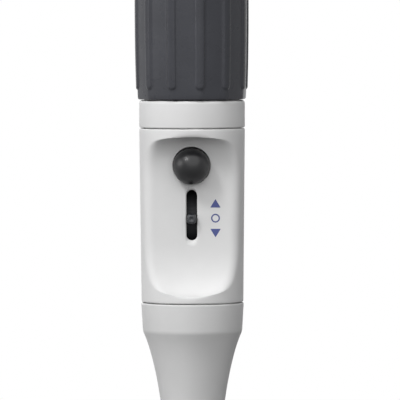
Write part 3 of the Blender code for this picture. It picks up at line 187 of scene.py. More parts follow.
def make_materials():
    """Every material under its short name."""
    shaders = {
        "casing": moulded("casing_plastic", (222, 222, 222), 0.46).set(IOR=1.46, Specular_IOR_Level=0.06),
        # The nose's plastic is a darker copy of the casing's plastic: painted shade for the dimmer light on
        # the nose and its down-facing flare
        "nose": moulded("nose_plastic_painted_shade", (213, 213, 213), 0.46).set(IOR=1.46, Specular_IOR_Level=0.06),
        "bulb": moulded("bulb_silicone", (66, 67, 72), 0.30, 1400.0, 0.02, 0.05),
        "ball": moulded("ball_rubber", (20, 20, 22), 0.35, 1400.0, 0.02, 0.06),
        "black": moulded("black_plastic", (38, 39, 41), 0.62, 1600.0, 0.02, 0.08),
        "tip": moulded("lever_tip_plastic", (30, 33, 38), 0.34, 1600.0, 0.01, 0.08),
        "seal": moulded("seal_rubber", (34, 34, 36), 0.55, 1400.0, 0.02, 0.08),
        "natural": moulded("natural_plastic", (226, 226, 220), 0.42, 1500.0, 0.01, 0.02),
        "silicone": moulded("clear_silicone", (214, 217, 217), 0.38, 1200.0, 0.012, 0.02),
        "membrane": moulded("membrane", (236, 236, 236), 0.85, 5200.0, 0.03, 0.03),
        "steel": moulded("steel", (196, 197, 200), 0.26, 900.0, 0.006, 0.04).set(Metallic=1.0),
        "ink": moulded("blue_ink", (62, 72, 130), 0.50, 2600.0, 0.004, 0.05),
    }
    for name, level in (("bulb", 0.13), ("ball", 0.36), ("black", 0.15), ("tip", 0.5)):
        shaders[name].set(Specular_IOR_Level=level)
    shaders["natural"].set(Subsurface_Weight=0.08, Subsurface_Scale=0.002)
    shaders["silicone"].set(Subsurface_Weight=0.30, Subsurface_Scale=0.003)
    return {name: shader.material for name, shader in shaders.items()}


def add_object(name, data):
    item = bpy.data.objects.new(name, data)
    bpy.context.scene.collection.objects.link(item)
    return item


def soften(item, crease=CREASE):
    """Shades the item smooth, and keeps edges above the crease angle sharp."""
    mesh = item.data
    mesh.polygons.foreach_set("use_smooth", [True] * len(mesh.polygons))
    mesh.set_sharp_from_angle(angle=math.radians(crease))


def finish_mesh(name, vertices, faces, material, crease=CREASE):
    """An object from these points and faces, with its faces turned outward."""
    mesh = bpy.data.meshes.new(name)
    mesh.from_pydata([tuple(v) for v in vertices], [], faces)
    work = bmesh.new()
    work.from_mesh(mesh)
    bmesh.ops.remove_doubles(work, verts=work.verts, dist=0.001 * MM)
    bmesh.ops.recalc_face_normals(work, faces=work.faces)
    work.to_mesh(mesh)
    work.free()
    item = add_object(name, mesh)
    mesh.materials.append(material)
    soften(item, crease)
    return item


def fit(item, body, slot, *nodes):
    """Rides the piece on its body, in place of these CAD nodes."""
    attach(item, body)
    if nodes:
        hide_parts(*nodes)


def grid_faces(rings, around, closed=False):
    """Quads between rings of points listed ring by ring. When closed, the last ring meets the first."""
    faces = []
    for i in range(rings if closed else rings - 1):
        for j in range(around):
            k, m = (i + 1) % rings, (j + 1) % around
            faces.append((i * around + j, i * around + m, k * around + m, k * around + j))
    return faces


def tube_faces(rings, around):
    """The faces between rings of points, with a flat cap over the first ring and over the last."""
    last = (rings - 1) * around
    caps = [tuple(range(around)), tuple(range(last + around - 1, last - 1, -1))]
    return grid_faces(rings, around) + caps


def joined(shells):
    """The points and the faces of several shells in one list each."""
    points, faces = [], []
    for shell_points, shell_faces in shells:
        start = len(points)
        points += shell_points
        faces += [tuple(start + i for i in face) for face in shell_faces]
    return points, faces


def turned(name, outline, material, steps, matrix=None):
    """A turned piece. The outline goes once round its half-section, and may start and end on the axis."""
    angles = [2 * math.pi * i / steps for i in range(steps)]
    points = [(r * math.cos(a), r * math.sin(a), z) for r, z in outline for a in angles]
    on_axis = outline[0][0] < 1e-9 and outline[-1][0] < 1e-9
    item = finish_mesh(name, points, grid_faces(len(outline), steps, not on_axis), material)
    if matrix is not None:
        item.data.transform(matrix)
    return item


def around_axis(radius, angle, z):
    """Points at these radii, angles from the front and heights."""
    return np.stack([radius * np.sin(angle), -radius * np.cos(angle), z], axis=-1)


def arc(centre_r, centre_z, radius, start, end, segments):
    """Points on an arc from one angle in degrees to another."""
    turns = [math.radians(start + (end - start) * i / segments) for i in range(segments + 1)]
    return [(centre_r + radius * math.cos(a), centre_z + radius * math.sin(a)) for a in turns]


def rounded(points, segments=6):
    """The closed outline with each corner that carries a third value rounded to that radius."""
    result = []
    for i, point in enumerate(points):
        corner = Vector(point[:2])
        radius = point[2] if len(point) > 2 else 0.0
        before, after = Vector(points[i - 1][:2]), Vector(points[(i + 1) % len(points)][:2])
        to_before, to_after = (before - corner), (after - corner)
        longest = 0.49 * min(to_before.length, to_after.length)
        to_before.normalize()
        to_after.normalize()
        half = to_before.angle(to_after) / 2
        if radius <= 0.0 or half > math.radians(89):
            result.append(tuple(corner))
            continue
        reach = min(radius / math.tan(half), longest)
        used = reach * math.tan(half)
        middle = corner + (to_before + to_after).normalized() * used / math.sin(half)
        start, end = corner + to_before * reach, corner + to_after * reach
        for step in range(segments + 1):
            spoke = (start - middle).lerp(end - middle, step / segments).normalized() * used
            result.append(tuple(middle + spoke))
    return result


def spread(start, end, step):
    """Evenly spaced values about one step apart, with both ends."""
    count = max(int(round(abs(end - start) / step)), 1)
    return list(np.linspace(start, end, count + 1))


def eased(share):
    """A share from 0 to 1 that sets off and arrives softly."""
    return share * share * (3 - 2 * share)


def smooth_max(a, b, width):
    """The larger value, with the change from one to the other rounded over this width."""
    share = np.clip(1 - np.abs(a - b) / width, 0.0, 1.0)
    return np.maximum(a, b) + share * share * width / 4


def casing_radius(z):
    """The casing's outer radius, which grows evenly towards the top."""
    share = (z - CASING_BOTTOM) / (CASING_TOP - CASING_BOTTOM)
    return CASING_BOTTOM_RADIUS + (CASING_TOP_RADIUS - CASING_BOTTOM_RADIUS) * share


def recess_depth(z, x=0.0):
    """Depth of the recess floor behind the casing's front. It is negative beyond the recess's ends."""
    z = np.asarray(z, dtype=float)
    start = RECESS_TOP - x * x / (2 * RECESS_ARCH_RADIUS)
    end = RECESS_BOTTOM + x * x / (2 * RECESS_END_RADIUS)
    top = np.clip((start - z) / RECESS_RUN, 0.0, 1.0)
    bottom = np.clip((z - end) / RECESS_RUN, 0.0, 1.0)
    upper = (1 - (1 - top) ** RECESS_TOP_POWER) ** (1 / RECESS_TOP_POWER)
    lower = (1 - (1 - bottom) ** RECESS_BOTTOM_POWER) ** (1 / RECESS_BOTTOM_POWER)
    above = np.maximum(z - start, 0.0) * RECESS_TOP_SLOPE
    below = np.maximum(end - z, 0.0) * RECESS_BOTTOM_SLOPE
    return (casing_radius(z) - RECESS_FLOOR_OFFSET) * np.minimum(upper, lower) - (above + below)


def floor_y(z):
    """Y of the recess floor, halfway across it."""
    return float(recess_depth(z) - casing_radius(z))


def shell_radius(angle, z, inset):
    """The casing's radius at an angle from the front, with the recess blended into the round body."""
    farthest, halvings = 30.0 * MM, 34
    outer = casing_radius(z) - inset
    low, high = np.zeros_like(outer + angle), np.full_like(outer + angle, farthest)
    for _ in range(halvings):
        middle = (low + high) / 2
        floor = outer - recess_depth(z, middle * np.sin(angle))
        outside = smooth_max(middle - outer, middle * np.cos(angle) - floor, RECESS_EDGE) > 0
        high = np.where(outside, middle, high)
        low = np.where(outside, low, middle)
    return (low + high) / 2


def casing_levels():
    """Heights of the casing's rows, closer together where it curves."""
    ends = [CASING_RIM * (1 - math.cos(math.radians(a))) for a in range(0, 91, 18)]
    levels = [CASING_BOTTOM + SEAM_RISE + e for e in ends]
    levels += spread(levels[-1], RECESS_BOTTOM - 0.8 * MM, 0.6 * MM)[1:]
    levels += spread(levels[-1], RECESS_BOTTOM + 2.4 * MM, 0.2 * MM)[1:]
    levels += spread(levels[-1], RECESS_TOP - 3.0 * MM, 0.7 * MM)[1:]
    levels += spread(levels[-1], RECESS_TOP + 0.9 * MM, 0.2 * MM)[1:]
    levels += [CASING_TOP - e for e in reversed(ends)]
    return np.array(levels)


def casing_angles():
    """Angles round the casing from the front, closer together over the recess."""
    half = [math.radians(a) for a in spread(0, 76, 1.25) + spread(76, 180, 4.0)[1:]]
    return np.array([-a for a in reversed(half[1:-1])] + half)


def rim_inset(levels):
    """How far the casing's rounded rims draw its surface in, for each height."""
    near = np.clip(np.minimum(levels - levels[0], levels[-1] - levels), 0.0, CASING_RIM)
    return CASING_RIM - np.sqrt(np.maximum(CASING_RIM**2 - (CASING_RIM - near) ** 2, 0.0))


def make_casing(materials):
    """The casing's shell with the recess, and the slot's lip and the bulb's cup that fill its two holes."""
    levels, angles = casing_levels(), casing_angles()
    z, angle = np.meshgrid(levels, angles, indexing="ij")
    outside = around_axis(shell_radius(angle, z, 0.0) - rim_inset(levels)[:, None], angle, z)
    inside = around_axis(shell_radius(angle, z, WALL), angle, z)[::-1]
    points = np.concatenate([outside, inside]).reshape(-1, 3)
    faces = grid_faces(2 * len(levels), len(angles), closed=True)
    shell = finish_mesh("casing_shell", points, faces, materials["casing"])
    well_radius = BLOW_BULB_RADIUS + WELL_GAP
    well_outline = [(0.0, 3 * well_radius), (well_radius, 3 * well_radius)]
    well_outline += arc(0, 0, well_radius, 0, -90, 24)
    well_outline[-1] = (0.0, -well_radius)
    well = turned("well_cutter", well_outline, materials["casing"], 96, well_place())
    carve(shell, make_slot_cutter(materials), well)
    fit(shell, "housing", "light_plastic", "casing")
    fit(make_slot_lip(materials), "housing", "light_plastic")
    fit(make_cup(materials, well_radius - 0.03 * MM), "housing", "light_plastic")


def blow_bulb_y():
    """Y of the blow-out bulb's centre when it isn't pressed."""
    return floor_y(BLOW_BULB_Z) - BLOW_BULB_STANDOFF


def well_place():
    """The frame of the well behind the blow-out bulb, with its Z forward from the pressed bulb's centre."""
    centre = Vector((0, blow_bulb_y() + BLOW_BULB_TRAVEL, BLOW_BULB_Z))
    return Matrix.Translation(centre) @ Matrix.Rotation(math.radians(90), 4, "X")


def carve(item, *cutters):
    """Cuts these meshes out of the item, clears the slivers this leaves, and deletes the cutters."""
    for cutter in cutters:
        modifier = item.modifiers.new("cut", "BOOLEAN")
        modifier.operation = "DIFFERENCE"
        modifier.solver = "EXACT"
        modifier.object = cutter
    bpy.context.view_layer.update()
    graph = bpy.context.evaluated_depsgraph_get()
    mesh = bpy.data.meshes.new_from_object(item.evaluated_get(graph))
    item.modifiers.clear()
    work = bmesh.new()
    work.from_mesh(mesh)
    bmesh.ops.remove_doubles(work, verts=work.verts, dist=MERGE_DISTANCE)
    bmesh.ops.triangulate(work, faces=[face for face in work.faces if len(face.verts) > 4])
    bmesh.ops.dissolve_degenerate(work, edges=work.edges, dist=SLIVER_WIDTH)
    stray = [face for face in work.faces if any(edge.is_boundary for edge in face.edges)]
    bmesh.ops.delete(work, geom=stray, context="FACES")
    work.to_mesh(mesh)
    work.free()
    item.data = mesh
    for cutter in cutters:
        bpy.data.objects.remove(cutter)
    soften(item)


def slot_outline():
    """Points round the lever slot with their outward directions, as (x, z, dx, dz)."""
    radius, straight = SLOT_WIDTH / 2, (SLOT_LENGTH - SLOT_WIDTH) / 2
    arc_steps, side_steps = 18, 16
    points = []
    for sign, start in ((1.0, 0.0), (-1.0, math.pi)):
        for i in range(arc_steps + 1):
            a = start + math.pi * i / arc_steps
            z = sign * straight + radius * math.sin(a)
            points.append((radius * math.cos(a), z, math.cos(a), math.sin(a)))
        for i in range(1, side_steps):
            z = sign * (straight - 2 * straight * i / side_steps)
            points.append((-sign * radius, z, -sign, 0.0))
    return points


def lip_reach(dz):
    """Width of the slot's lip in a direction with this upward share. It is less below the blow-out bulb."""
    return SLOT_LIP - 0.75 * MM * max(dz, 0.0) ** 2


def make_slot_cutter(materials):
    """The outline of the slot's lip as a solid that cuts through the casing's floor."""
    outline = []
    for x, z, dx, dz in slot_outline():
        outline.append((x + dx * lip_reach(dz), SLOT_Z + z + dz * lip_reach(dz)))
    ends = (floor_y(SLOT_Z) - 4 * MM, floor_y(SLOT_Z) + 6 * MM)
    points = [(x, y, z) for y in ends for x, z in outline]
    return finish_mesh("slot_cutter", points, tube_faces(2, len(outline)), materials["casing"])


def make_slot_lip(materials):
    """The rolled edge of the slot, softer at its ends than along its sides and softest at the bottom."""
    side, top, bottom, deepest = 0.5 * MM, 1.7 * MM, 2.4 * MM, 1.6 * MM
    columns = []
    for x, z, dx, dz in slot_outline():
        roll = side + ((top if dz > 0 else bottom) - side) * dz * dz
        section = [(lip_reach(dz), 0.0)]
        for a in range(0, 91, 9):
            turn = math.radians(a)
            section.append((roll * (1 - math.sin(turn)), min(roll, deepest) * (1 - math.cos(turn))))
        section += [(0.0, WALL), (lip_reach(dz), WALL)]
        column = []
        for offset, depth in section:
            height = SLOT_Z + z + dz * offset
            column.append((x + dx * offset, floor_y(height) + depth, height))
        columns.append(column)
    points = [point for row in zip(*columns) for point in row]
    faces = grid_faces(len(columns[0]), len(columns), closed=True)
    return finish_mesh("slot_lip", points, faces, materials["casing"])


def make_cup(materials, inner):
    """The bowl behind the blow-out bulb, flattened just under the recess floor."""
    outer, forward = inner + 1.3 * MM, 4 * MM
    outline = [(outer, forward), (inner, forward)]
    outline += arc(0, 0, inner, 0, -57, 18) + arc(0, 0, outer, -62, 0, 16)
    cup = turned("bulb_cup", outline, materials["casing"], 96, well_place())
    for vertex in cup.data.vertices:
        vertex.co.y = max(vertex.co.y, floor_y(vertex.co.z) + 0.2 * MM)
    return cup


def make_blow_out_ball(materials):
    """The rubber ball with its neck, a little slumped as in the photograph."""
    radius, inner = BLOW_BULB_RADIUS, BLOW_BULB_RADIUS - 1.2 * MM
    neck, neck_inner, reach = 3.4 * MM, 2.3 * MM, 11.0 * MM
    outer_end = math.degrees(math.acos(neck / radius))
    inner_end = math.degrees(math.acos(neck_inner / inner))
    outline = arc(0, 0, radius, 90, -outer_end, 44)
    outline += neck_outline(neck, neck_inner, radius * math.sin(math.radians(outer_end)), reach)
    outline += arc(0, 0, inner, -inner_end, 90, 24)
    outline[0], outline[-1] = (0.0, radius), (0.0, inner)
    forward = Matrix.Rotation(math.radians(90), 4, "X")
    ball = turned("blow_out_ball", outline, materials["ball"], 96, forward)
    for vertex in ball.data.vertices:
        vertex.co = slumped(vertex.co, radius)
    ball.data.transform(Matrix.Translation((0, blow_bulb_y(), BLOW_BULB_Z)))
    fit(ball, "blow_out", "black_rubber", "blow_out_bulb")


def neck_outline(outer, inner, start, end):
    """The outline of the ball's neck, with its end rounded over."""
    lip = (outer - inner) / 2
    side = [(outer, -start - 0.6 * MM), (outer, -end + lip)]
    return side + arc(inner + lip, -end + lip, lip, 0, -180, 8)


def slumped(point, radius):
    """A point of the soft ball, with its top a little flattened and its lower left fuller."""
    flattening, most_swell = 0.95, 0.034
    x, y, z = point
    if z > 0:
        z *= flattening
    lower_left = -0.42 * x - 0.91 * z
    share = np.clip(lower_left / (0.3 * radius) - 2.33, 0.0, 1.0)
    swell = 1 + most_swell * eased(share)
    return (x * swell, y, z * swell)


def make_collar(materials):
    """The ring over the casing, with a lip inward that holds the squeeze bulb's foot."""
    inner, lip_radius = 17.4 * MM, 16.2 * MM
    bottom, lip_bottom = CASING_TOP + GAP, COLLAR_TOP - 2.3 * MM
    outline = rounded(
        [
            (CASING_TOP_RADIUS, COLLAR_TOP, 1.1 * MM),
            (CASING_TOP_RADIUS, bottom, 0.5 * MM),
            (inner, bottom),
            (inner, lip_bottom),
            (lip_radius, lip_bottom),
            (lip_radius, COLLAR_TOP),
        ]
    )
    collar = turned("collar_ring", outline, materials["casing"], 160)
    fit(collar, "housing", "light_plastic", "bulb_collar")


def barrel_radius(z):
    """The squeeze bulb's radius under its ribs, below the dome."""
    belly, base, widest = BULB_BOTTOM + 38.0 * MM, 19.85 * MM, 20.44 * MM
    z = np.asarray(z, dtype=float)
    low = widest - (widest - base) * (np.maximum(belly - z, 0.0) / (belly - BULB_BOTTOM)) ** 2.5
    high = widest - (widest - DOME_RADIUS) * ((z - belly) / (DOME_BOTTOM - belly)) ** 2
    return np.where(z < belly, low, high)


def rib_height(angle, z):
    """Height of the grip ribs over the skin: flat on top, rolled at the sides, round at both ends."""
    width, height, roll = 3.9 * MM, 0.5 * MM, 0.75 * MM
    pitch = math.radians(RIB_PITCH)
    away = (angle - math.radians(FIRST_RIB) + pitch / 2) % pitch - pitch / 2
    low, high = BULB_BOTTOM + 3.4 * MM, BULB_TOP - 11.0 * MM
    end_centre = np.clip(z, low + width / 2, high - width / 2)
    distance = np.hypot(away * RIB_CIRCLE, z - end_centre) - width / 2
    return height * eased(np.clip(-distance / roll, 0.0, 1.0))


def facet(angle):
    """Share of the bulb's radius between the ribs, where its skin is nearly flat from rib to rib."""
    half, flatness = math.radians(RIB_PITCH / 2), 0.75
    away = (angle - math.radians(FIRST_RIB)) % (2 * half) - half
    return 1 - flatness * (1 - math.cos(half) / np.cos(away))


def bulb_outline():
    """The bulb's outer half-section from the top to the foot, dense enough for the ribs' ends."""
    dome = []
    for i in range(31):
        a = math.radians(90 - 3 * i)
        dome.append((DOME_RADIUS * math.cos(a), DOME_BOTTOM + DOME_HEIGHT * math.sin(a)))
    heights = spread(DOME_BOTTOM, BULB_BOTTOM + 12 * MM, 1.6 * MM)[1:]
    heights += spread(BULB_BOTTOM + 12 * MM, BULB_BOTTOM + 1.4 * MM, 0.25 * MM)[1:]
    return dome + [(float(barrel_radius(z)), z) for z in heights]


def bulb_angles():
    """Angles round the bulb from the front, closer together at the ribs' sides."""
    across = [0.0, 1.0, 1.2, 1.35, 1.5, 1.65, 1.8, 1.95]
    half = [math.degrees(mm * MM / RIB_CIRCLE) for mm in across] + [7.7, 9.6, 11.4, 13.2, 15.0]
    pitch = [-a for a in reversed(half[1:-1])] + half
    return np.radians([FIRST_RIB + RIB_PITCH * i + a for i in range(RIBS) for a in pitch])


def make_bulb(materials):
    """The squeeze bulb, hollow, with its ribs and with a foot inside the collar."""
    skin = bulb_outline()
    foot_r, foot_z = skin[-1]
    bottom, step, lip_bottom = BULB_BOTTOM, COLLAR_TOP - 2.6 * MM, BULB_FOOT_BOTTOM
    foot = rounded(
        [
            (foot_r - 0.01 * MM, foot_z - 0.05 * MM),
            (19.8 * MM, bottom, 1.1 * MM),
            (15.9 * MM, bottom),
            (15.9 * MM, step),
            (17.1 * MM, step, 0.4 * MM),
            (17.1 * MM, lip_bottom, 0.4 * MM),
            (13.6 * MM, lip_bottom),
            (13.6 * MM, bottom + BULB_SKIN),
        ]
    )
    inner = []
    for r, z in skin[::-6]:
        inner.append((max(r - BULB_SKIN, 0.0), z - (BULB_SKIN if z > DOME_BOTTOM else 0.0)))
    inner[-1] = (0.0, BULB_TOP - BULB_SKIN)
    outline = np.array(skin + foot + inner)
    z, angle = np.meshgrid(outline[:, 1], bulb_angles(), indexing="ij")
    ribbed = slice(len(skin))
    faceted = slice(len(skin) + 8)  # goes on over the foot's first point and its rounded corner
    shape, lift = np.ones_like(z), np.zeros_like(z)
    shape[faceted] = facet(angle[faceted])
    lift[ribbed] = rib_height(angle[ribbed], z[ribbed])
    points = around_axis(outline[:, 0][:, None] * shape + lift, angle, z).reshape(-1, 3)
    bulb = finish_mesh("squeeze_bulb", points, grid_faces(*z.shape), materials["bulb"], 40.0)
    fit(bulb, "housing", "bulb_silicone", "suction_bulb")


def flare_radius(z):
    """The nose's outer radius below its rim."""
    share = z / (49.0 * MM)
    return 10.1 * MM + 7.0 * MM * share**2.1 + 0.6 * MM * share**12


def make_nose(materials):
    """The nose's shell, with the seat of the filter and of the grip inside."""
    seam, lip, flare_bottom = CASING_BOTTOM - GAP, 2.0 * MM, 5.0 * MM
    flare = [(flare_radius(z), z) for z in spread(47.5 * MM, flare_bottom, 1.4 * MM)]
    outline = rounded(
        [
            (18.65 * MM, seam + SEAM_RISE, 0.5 * MM),
            (18.05 * MM, 49.9 * MM, 5.0 * MM),
            *flare,
            (10.0 * MM, 0.0, 1.2 * MM),
            (6.6 * MM, 0.0, 0.6 * MM),
            (6.6 * MM, lip),
            (8.3 * MM, lip),
            (8.3 * MM, 30.8 * MM),
            (11.4 * MM, 34.3 * MM),
            (11.4 * MM, 36.7 * MM),
            (12.5 * MM, 37.7 * MM),
            (12.5 * MM, 47.2 * MM),
            (16.2 * MM, 50.2 * MM),
            (16.2 * MM, seam),
            (17.0 * MM, seam),
            (17.0 * MM, seam + SEAM_RISE),
        ],
        8,
    )
    nose = turned("nose_shell", outline, materials["nose"], 160)
    fit(nose, "nose", "light_plastic", "nose_cone")


def make_adapter(materials):
    """The silicone grip, with the fine rings inside its mouth that seal on the pipette."""
    bottom, top = 2.3 * MM, 38.3 * MM
    mouth, narrow, grip_top = 5.2 * MM, 3.2 * MM, 21.8 * MM
    rings = []
    for i in range(10):
        z = bottom + (0.8 + 1.9 * i) * MM
        r = mouth + (narrow - mouth) * (z - bottom) / (grip_top - bottom)
        groove, crest = r + 0.12 * MM, r - 0.05 * MM
        rings += [(r, z), (groove, z + 0.4 * MM), (groove, z + 1.1 * MM), (crest, z + 1.5 * MM)]
    outline = rounded(
        [
            (11.1 * MM, top, 0.6 * MM),
            (11.1 * MM, 34.6 * MM),
            (8.0 * MM, 31.1 * MM),
            (8.0 * MM, bottom, 0.8 * MM),
            (mouth, bottom, 0.6 * MM),
            *rings,
            (narrow, grip_top),
            (3.0 * MM, 22.8 * MM),
            (4.3 * MM, 22.8 * MM),
            (4.3 * MM, 30.3 * MM),
            (1.2 * MM, 31.3 * MM),
            (1.2 * MM, 33.3 * MM),
            (2.5 * MM, 33.3 * MM),
            (2.5 * MM, top),
        ],
        4,
    )
    sleeve = turned("grip_sleeve", outline, materials["silicone"], 96)
    fit(sleeve, "nose_core", "clear_silicone", "pipette_adapter")


def make_float(materials):
    """The check valve's float inside the grip."""
    low, high = 22.9 * MM, 27.7 * MM
    outline = rounded(
        [
            (0.0, high + 0.6 * MM),
            (0.7 * MM, high + 0.6 * MM, 0.3 * MM),
            (3.0 * MM, high, 0.3 * MM),
            (3.8 * MM, high - 0.8 * MM, 0.3 * MM),
            (3.8 * MM, low, 0.5 * MM),
            (0.9 * MM, low, 0.2 * MM),
            (0.7 * MM, low + 0.4 * MM, 0.1 * MM),
            (0.0, low + 0.4 * MM),
        ],
        4,
    )
    valve = turned("float_valve", outline, materials["natural"], 64)
    fit(valve, "float", "natural_plastic", "check_valve_float")


def prism(outline, half_width, x):
    """Points and faces of a side outline, given as (y, z), extruded along X about the middle x."""
    points = [(x + offset, y, z) for offset in (-half_width, half_width) for y, z in outline]
    return points, tube_faces(2, len(outline))


def make_lever(materials):
    """The lever: a crowned tip, and behind the slot its web, dust shield, hub and fork."""
    pivot = floor_y(LEVER_Z) + PIVOT_DEPTH
    shield, thickness, half = PIVOT_DEPTH - WALL - GAP, 1.2 * MM, 71
    band = arc(0, 0, shield, half, -half, 48) + arc(0, 0, shield - thickness, -half, half, 48)
    web = arc(0, 0, shield - 0.6 * MM, 58, -58, 32) + [(0.0, -2.1 * MM), (0.0, 2.1 * MM)]
    hub = arc(0, 0, 2.6 * MM, 0, 360, 40)[:-1]
    arm = [(0.0, 0.6 * MM), (0.0, -0.6 * MM), (-6 * MM, -0.6 * MM), (-6 * MM, 0.6 * MM)]
    pad = arc(-6 * MM, 0, 1.5 * MM, 0, 360, 28)[:-1]
    pieces = [(band, 3.0 * MM, 0.0), (web, 1.7 * MM, 0.0), (hub, 3.7 * MM, 0.0)]
    for x in (-2.45 * MM, 2.45 * MM):
        pieces += [(arm, 0.55 * MM, x), (pad, 0.57 * MM, x)]
    shells = []
    for outline, half_width, x in pieces:
        side = [(pivot - forward, LEVER_Z + up) for forward, up in outline]
        shells.append(prism(side, half_width, x))
    lever = finish_mesh("thumb_lever", *joined(shells), materials["black"], 40.0)
    fit(lever, "lever", "black_plastic", "pipetting_lever")
    tip = finish_mesh("lever_tip", *lever_tip(pivot, shield), materials["tip"], 40.0)
    fit(tip, "lever", "black_plastic")


def lever_tip(pivot, shield):
    """A rounded bar that grows out of the shield and ends in a soft crown with a dished middle."""
    half_width, half_height, reach = 1.7 * MM, 1.85 * MM, PIVOT_DEPTH + LEVER_REACH
    crown, dish, rim, centre = 1.2 * MM, 0.35 * MM, 0.55, 0.02
    around, squareness = 48, 3
    stations = [(shield - 0.6 * MM, 1.0), (reach - crown - 1.2 * MM, 1.0)]
    for i in range(11):
        a = math.radians(9 * i)
        stations.append((reach - crown + crown * math.sin(a), rim + (1 - rim) * math.cos(a)))
    for i in range(1, 9):
        a = math.radians(180 * i / 8)
        stations.append((reach - dish * (1 - math.cos(a)) / 2, rim - (rim - centre) * i / 8))
    points = []
    for forward, size in stations:
        for i in range(around):
            a = 2 * math.pi * i / around
            c, s = math.cos(a), math.sin(a)
            scale = size * (abs(c) ** squareness + abs(s) ** squareness) ** (-1 / squareness)
            points.append((c * scale * half_width, pivot - forward, LEVER_Z + s * scale * half_height))
    return points, tube_faces(len(stations), around)


def make_marks(materials):
    """The printed marks beside the slot: a triangle up, a ring and a triangle down."""
    x = 8.6 * MM
    half, height = 1.9 * MM, 1.55 * MM
    marks = {
        "mark_up": (96.6 * MM, [(-half, -height), (half, -height), (0.0, height)]),
        "mark_down": (85.8 * MM, [(-half, height), (0.0, -height), (half, height)]),
    }
    for name, (z, corners) in marks.items():
        outline = rounded([(u, v, 0.12 * MM) for u, v in corners], 3)
        add_print(name, [[(x + u, z + v) for u, v in outline]], materials)
    ring_z, outer, inner = 91.2 * MM, 1.6 * MM, 1.12 * MM
    rings = [arc(x, ring_z, radius, 0, 360, 48)[:-1] for radius in (outer, inner)]
    add_print("mark_middle", rings, materials)


def add_print(name, outlines, materials):
    """Ink on the recess floor inside one outline, or between two."""
    front = [(x, floor_y(z) - INK_HEIGHT, z) for outline in outlines for x, z in outline]
    back = [(x, y + 2 * INK_HEIGHT, z) for x, y, z in front]
    count = len(outlines[0])
    if len(outlines) == 1:
        points, faces = front + back, tube_faces(2, count)
    else:
        points, faces = front + back[count:] + back[:count], grid_faces(4, count, closed=True)
    fit(finish_mesh(name, points, faces, materials["ink"]), "housing", "bulb_silicone")


def make_thread(materials):
    """The coarse three-start thread on the base's spigot, which shows when the nose comes off."""
    radius, height, lead, starts = 15.88 * MM, 0.22 * MM, 6.0 * MM, 3
    low, high = 51.4 * MM, 56.2 * MM
    steps, run_out = 72, 5
    root = radius - 0.1 * MM
    count = int(steps * (high - low) / lead)
    shells = []
    for start in range(starts):
        points = []
        for i in range(count + 1):
            a = 2 * math.pi * (i / steps + start / starts)
            z = low + (high - low) * i / count
            crest = radius + height * min(i / run_out, (count - i) / run_out, 1.0)
            for r, dz in ((root, -0.55), (crest, -0.25), (crest, 0.25), (root, 0.55)):
                points.append((r * math.cos(a), r * math.sin(a), z + dz * MM))
        shells.append((points, tube_faces(count + 1, 4)))
    thread = finish_mesh("nose_thread", *joined(shells), materials["natural"], 30.0)
    fit(thread, "housing", "natural_plastic")


def make_springs(materials):
    """The two centring springs, each wound from its fixed end to its free end by the spool."""
    spool_y, coil, wire = 10.45 * MM, 2.65 * MM, 0.18 * MM
    turns, closed, closed_pitch, steps, around = 6.0, 0.8, 0.46 * MM, 28, 10
    count = int(turns * steps)
    for side, fixed, free in (("upper", 109.68 * MM, 104.8 * MM), ("lower", 69.1 * MM, 79.88 * MM)):
        length, towards = abs(free - fixed), math.copysign(1.0, free - fixed)
        climb = length - 2 * wire
        knots = [0.0, closed, turns - closed, turns]
        heights = [0.0, closed * closed_pitch, climb - closed * closed_pitch, climb]
        points = []
        for i in range(count + 1):
            turn = i / steps
            z = fixed + towards * (wire + float(np.interp(turn, knots, heights)))
            a = 2 * math.pi * turn
            for k in range(around):
                b = 2 * math.pi * k / around
                r = coil + wire * math.cos(b)
                points.append((r * math.cos(a), spool_y + r * math.sin(a), z + wire * math.sin(b)))
        faces = tube_faces(count + 1, around)
        spring = finish_mesh("centring_spring_" + side, points, faces, materials["steel"], 40.0)
        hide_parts("spool_spring_" + side)
        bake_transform(spring)


def dress_nodes(frame, materials):
    """Better materials for the CAD nodes that stay."""
    by_slot = {
        "light_plastic": "casing",
        "bulb_silicone": "bulb",
        "black_plastic": "black",
        "black_rubber": "seal",
        "natural_plastic": "natural",
        "clear_silicone": "silicone",
        "membrane": "membrane",
        "steel": "steel",
    }
    slots = {entry["node"]: entry["material_slot"] for entry in frame["record"]["subparts"]}
    for name, node in frame["nodes"].items():
        for place in node.material_slots:
            place.material = materials[by_slot[slots[name]]]


def seen_as_background(tree):
    """1 for the rays that should see a white background: camera, glossy and transmission rays."""
    path = tree.nodes.new("ShaderNodeLightPath")
    either = path.outputs["Is Camera Ray"]
    for name in ("Is Glossy Ray", "Is Transmission Ray"):
        largest = tree.nodes.new("ShaderNodeMath")
        largest.operation = "MAXIMUM"
        tree.links.new(either, largest.inputs[0])
        tree.links.new(path.outputs[name], largest.inputs[1])
        either = largest.outputs[0]
    return either


def mix_shaders(tree, share, first, second, output):
    """Sends a mix of two shaders to the tree's output node."""
    mix = tree.nodes.new("ShaderNodeMixShader")
    tree.links.new(share, mix.inputs["Fac"])
    tree.links.new(first, mix.inputs[1])
    tree.links.new(second, mix.inputs[2])
    tree.links.new(mix.outputs["Shader"], tree.nodes[output].inputs["Surface"])


def make_world():
    """White for the rays that see the background, and a faint light for the others."""
    world = bpy.data.worlds.new("studio")
    bpy.context.scene.world = world
    world.use_nodes = True
    tree = world.node_tree
    light = tree.nodes["Background"]
    light.inputs["Color"].default_value = (1, 1, 1, 1)
    light.inputs["Strength"].default_value = WORLD_STRENGTH
    white = tree.nodes.new("ShaderNodeBackground")
    white.inputs["Color"].default_value = (1, 1, 1, 1)
    white.inputs["Strength"].default_value = 1.0
    backgrounds = (light.outputs["Background"], white.outputs["Background"])
    mix_shaders(tree, seen_as_background(tree), *backgrounds, "World Output")


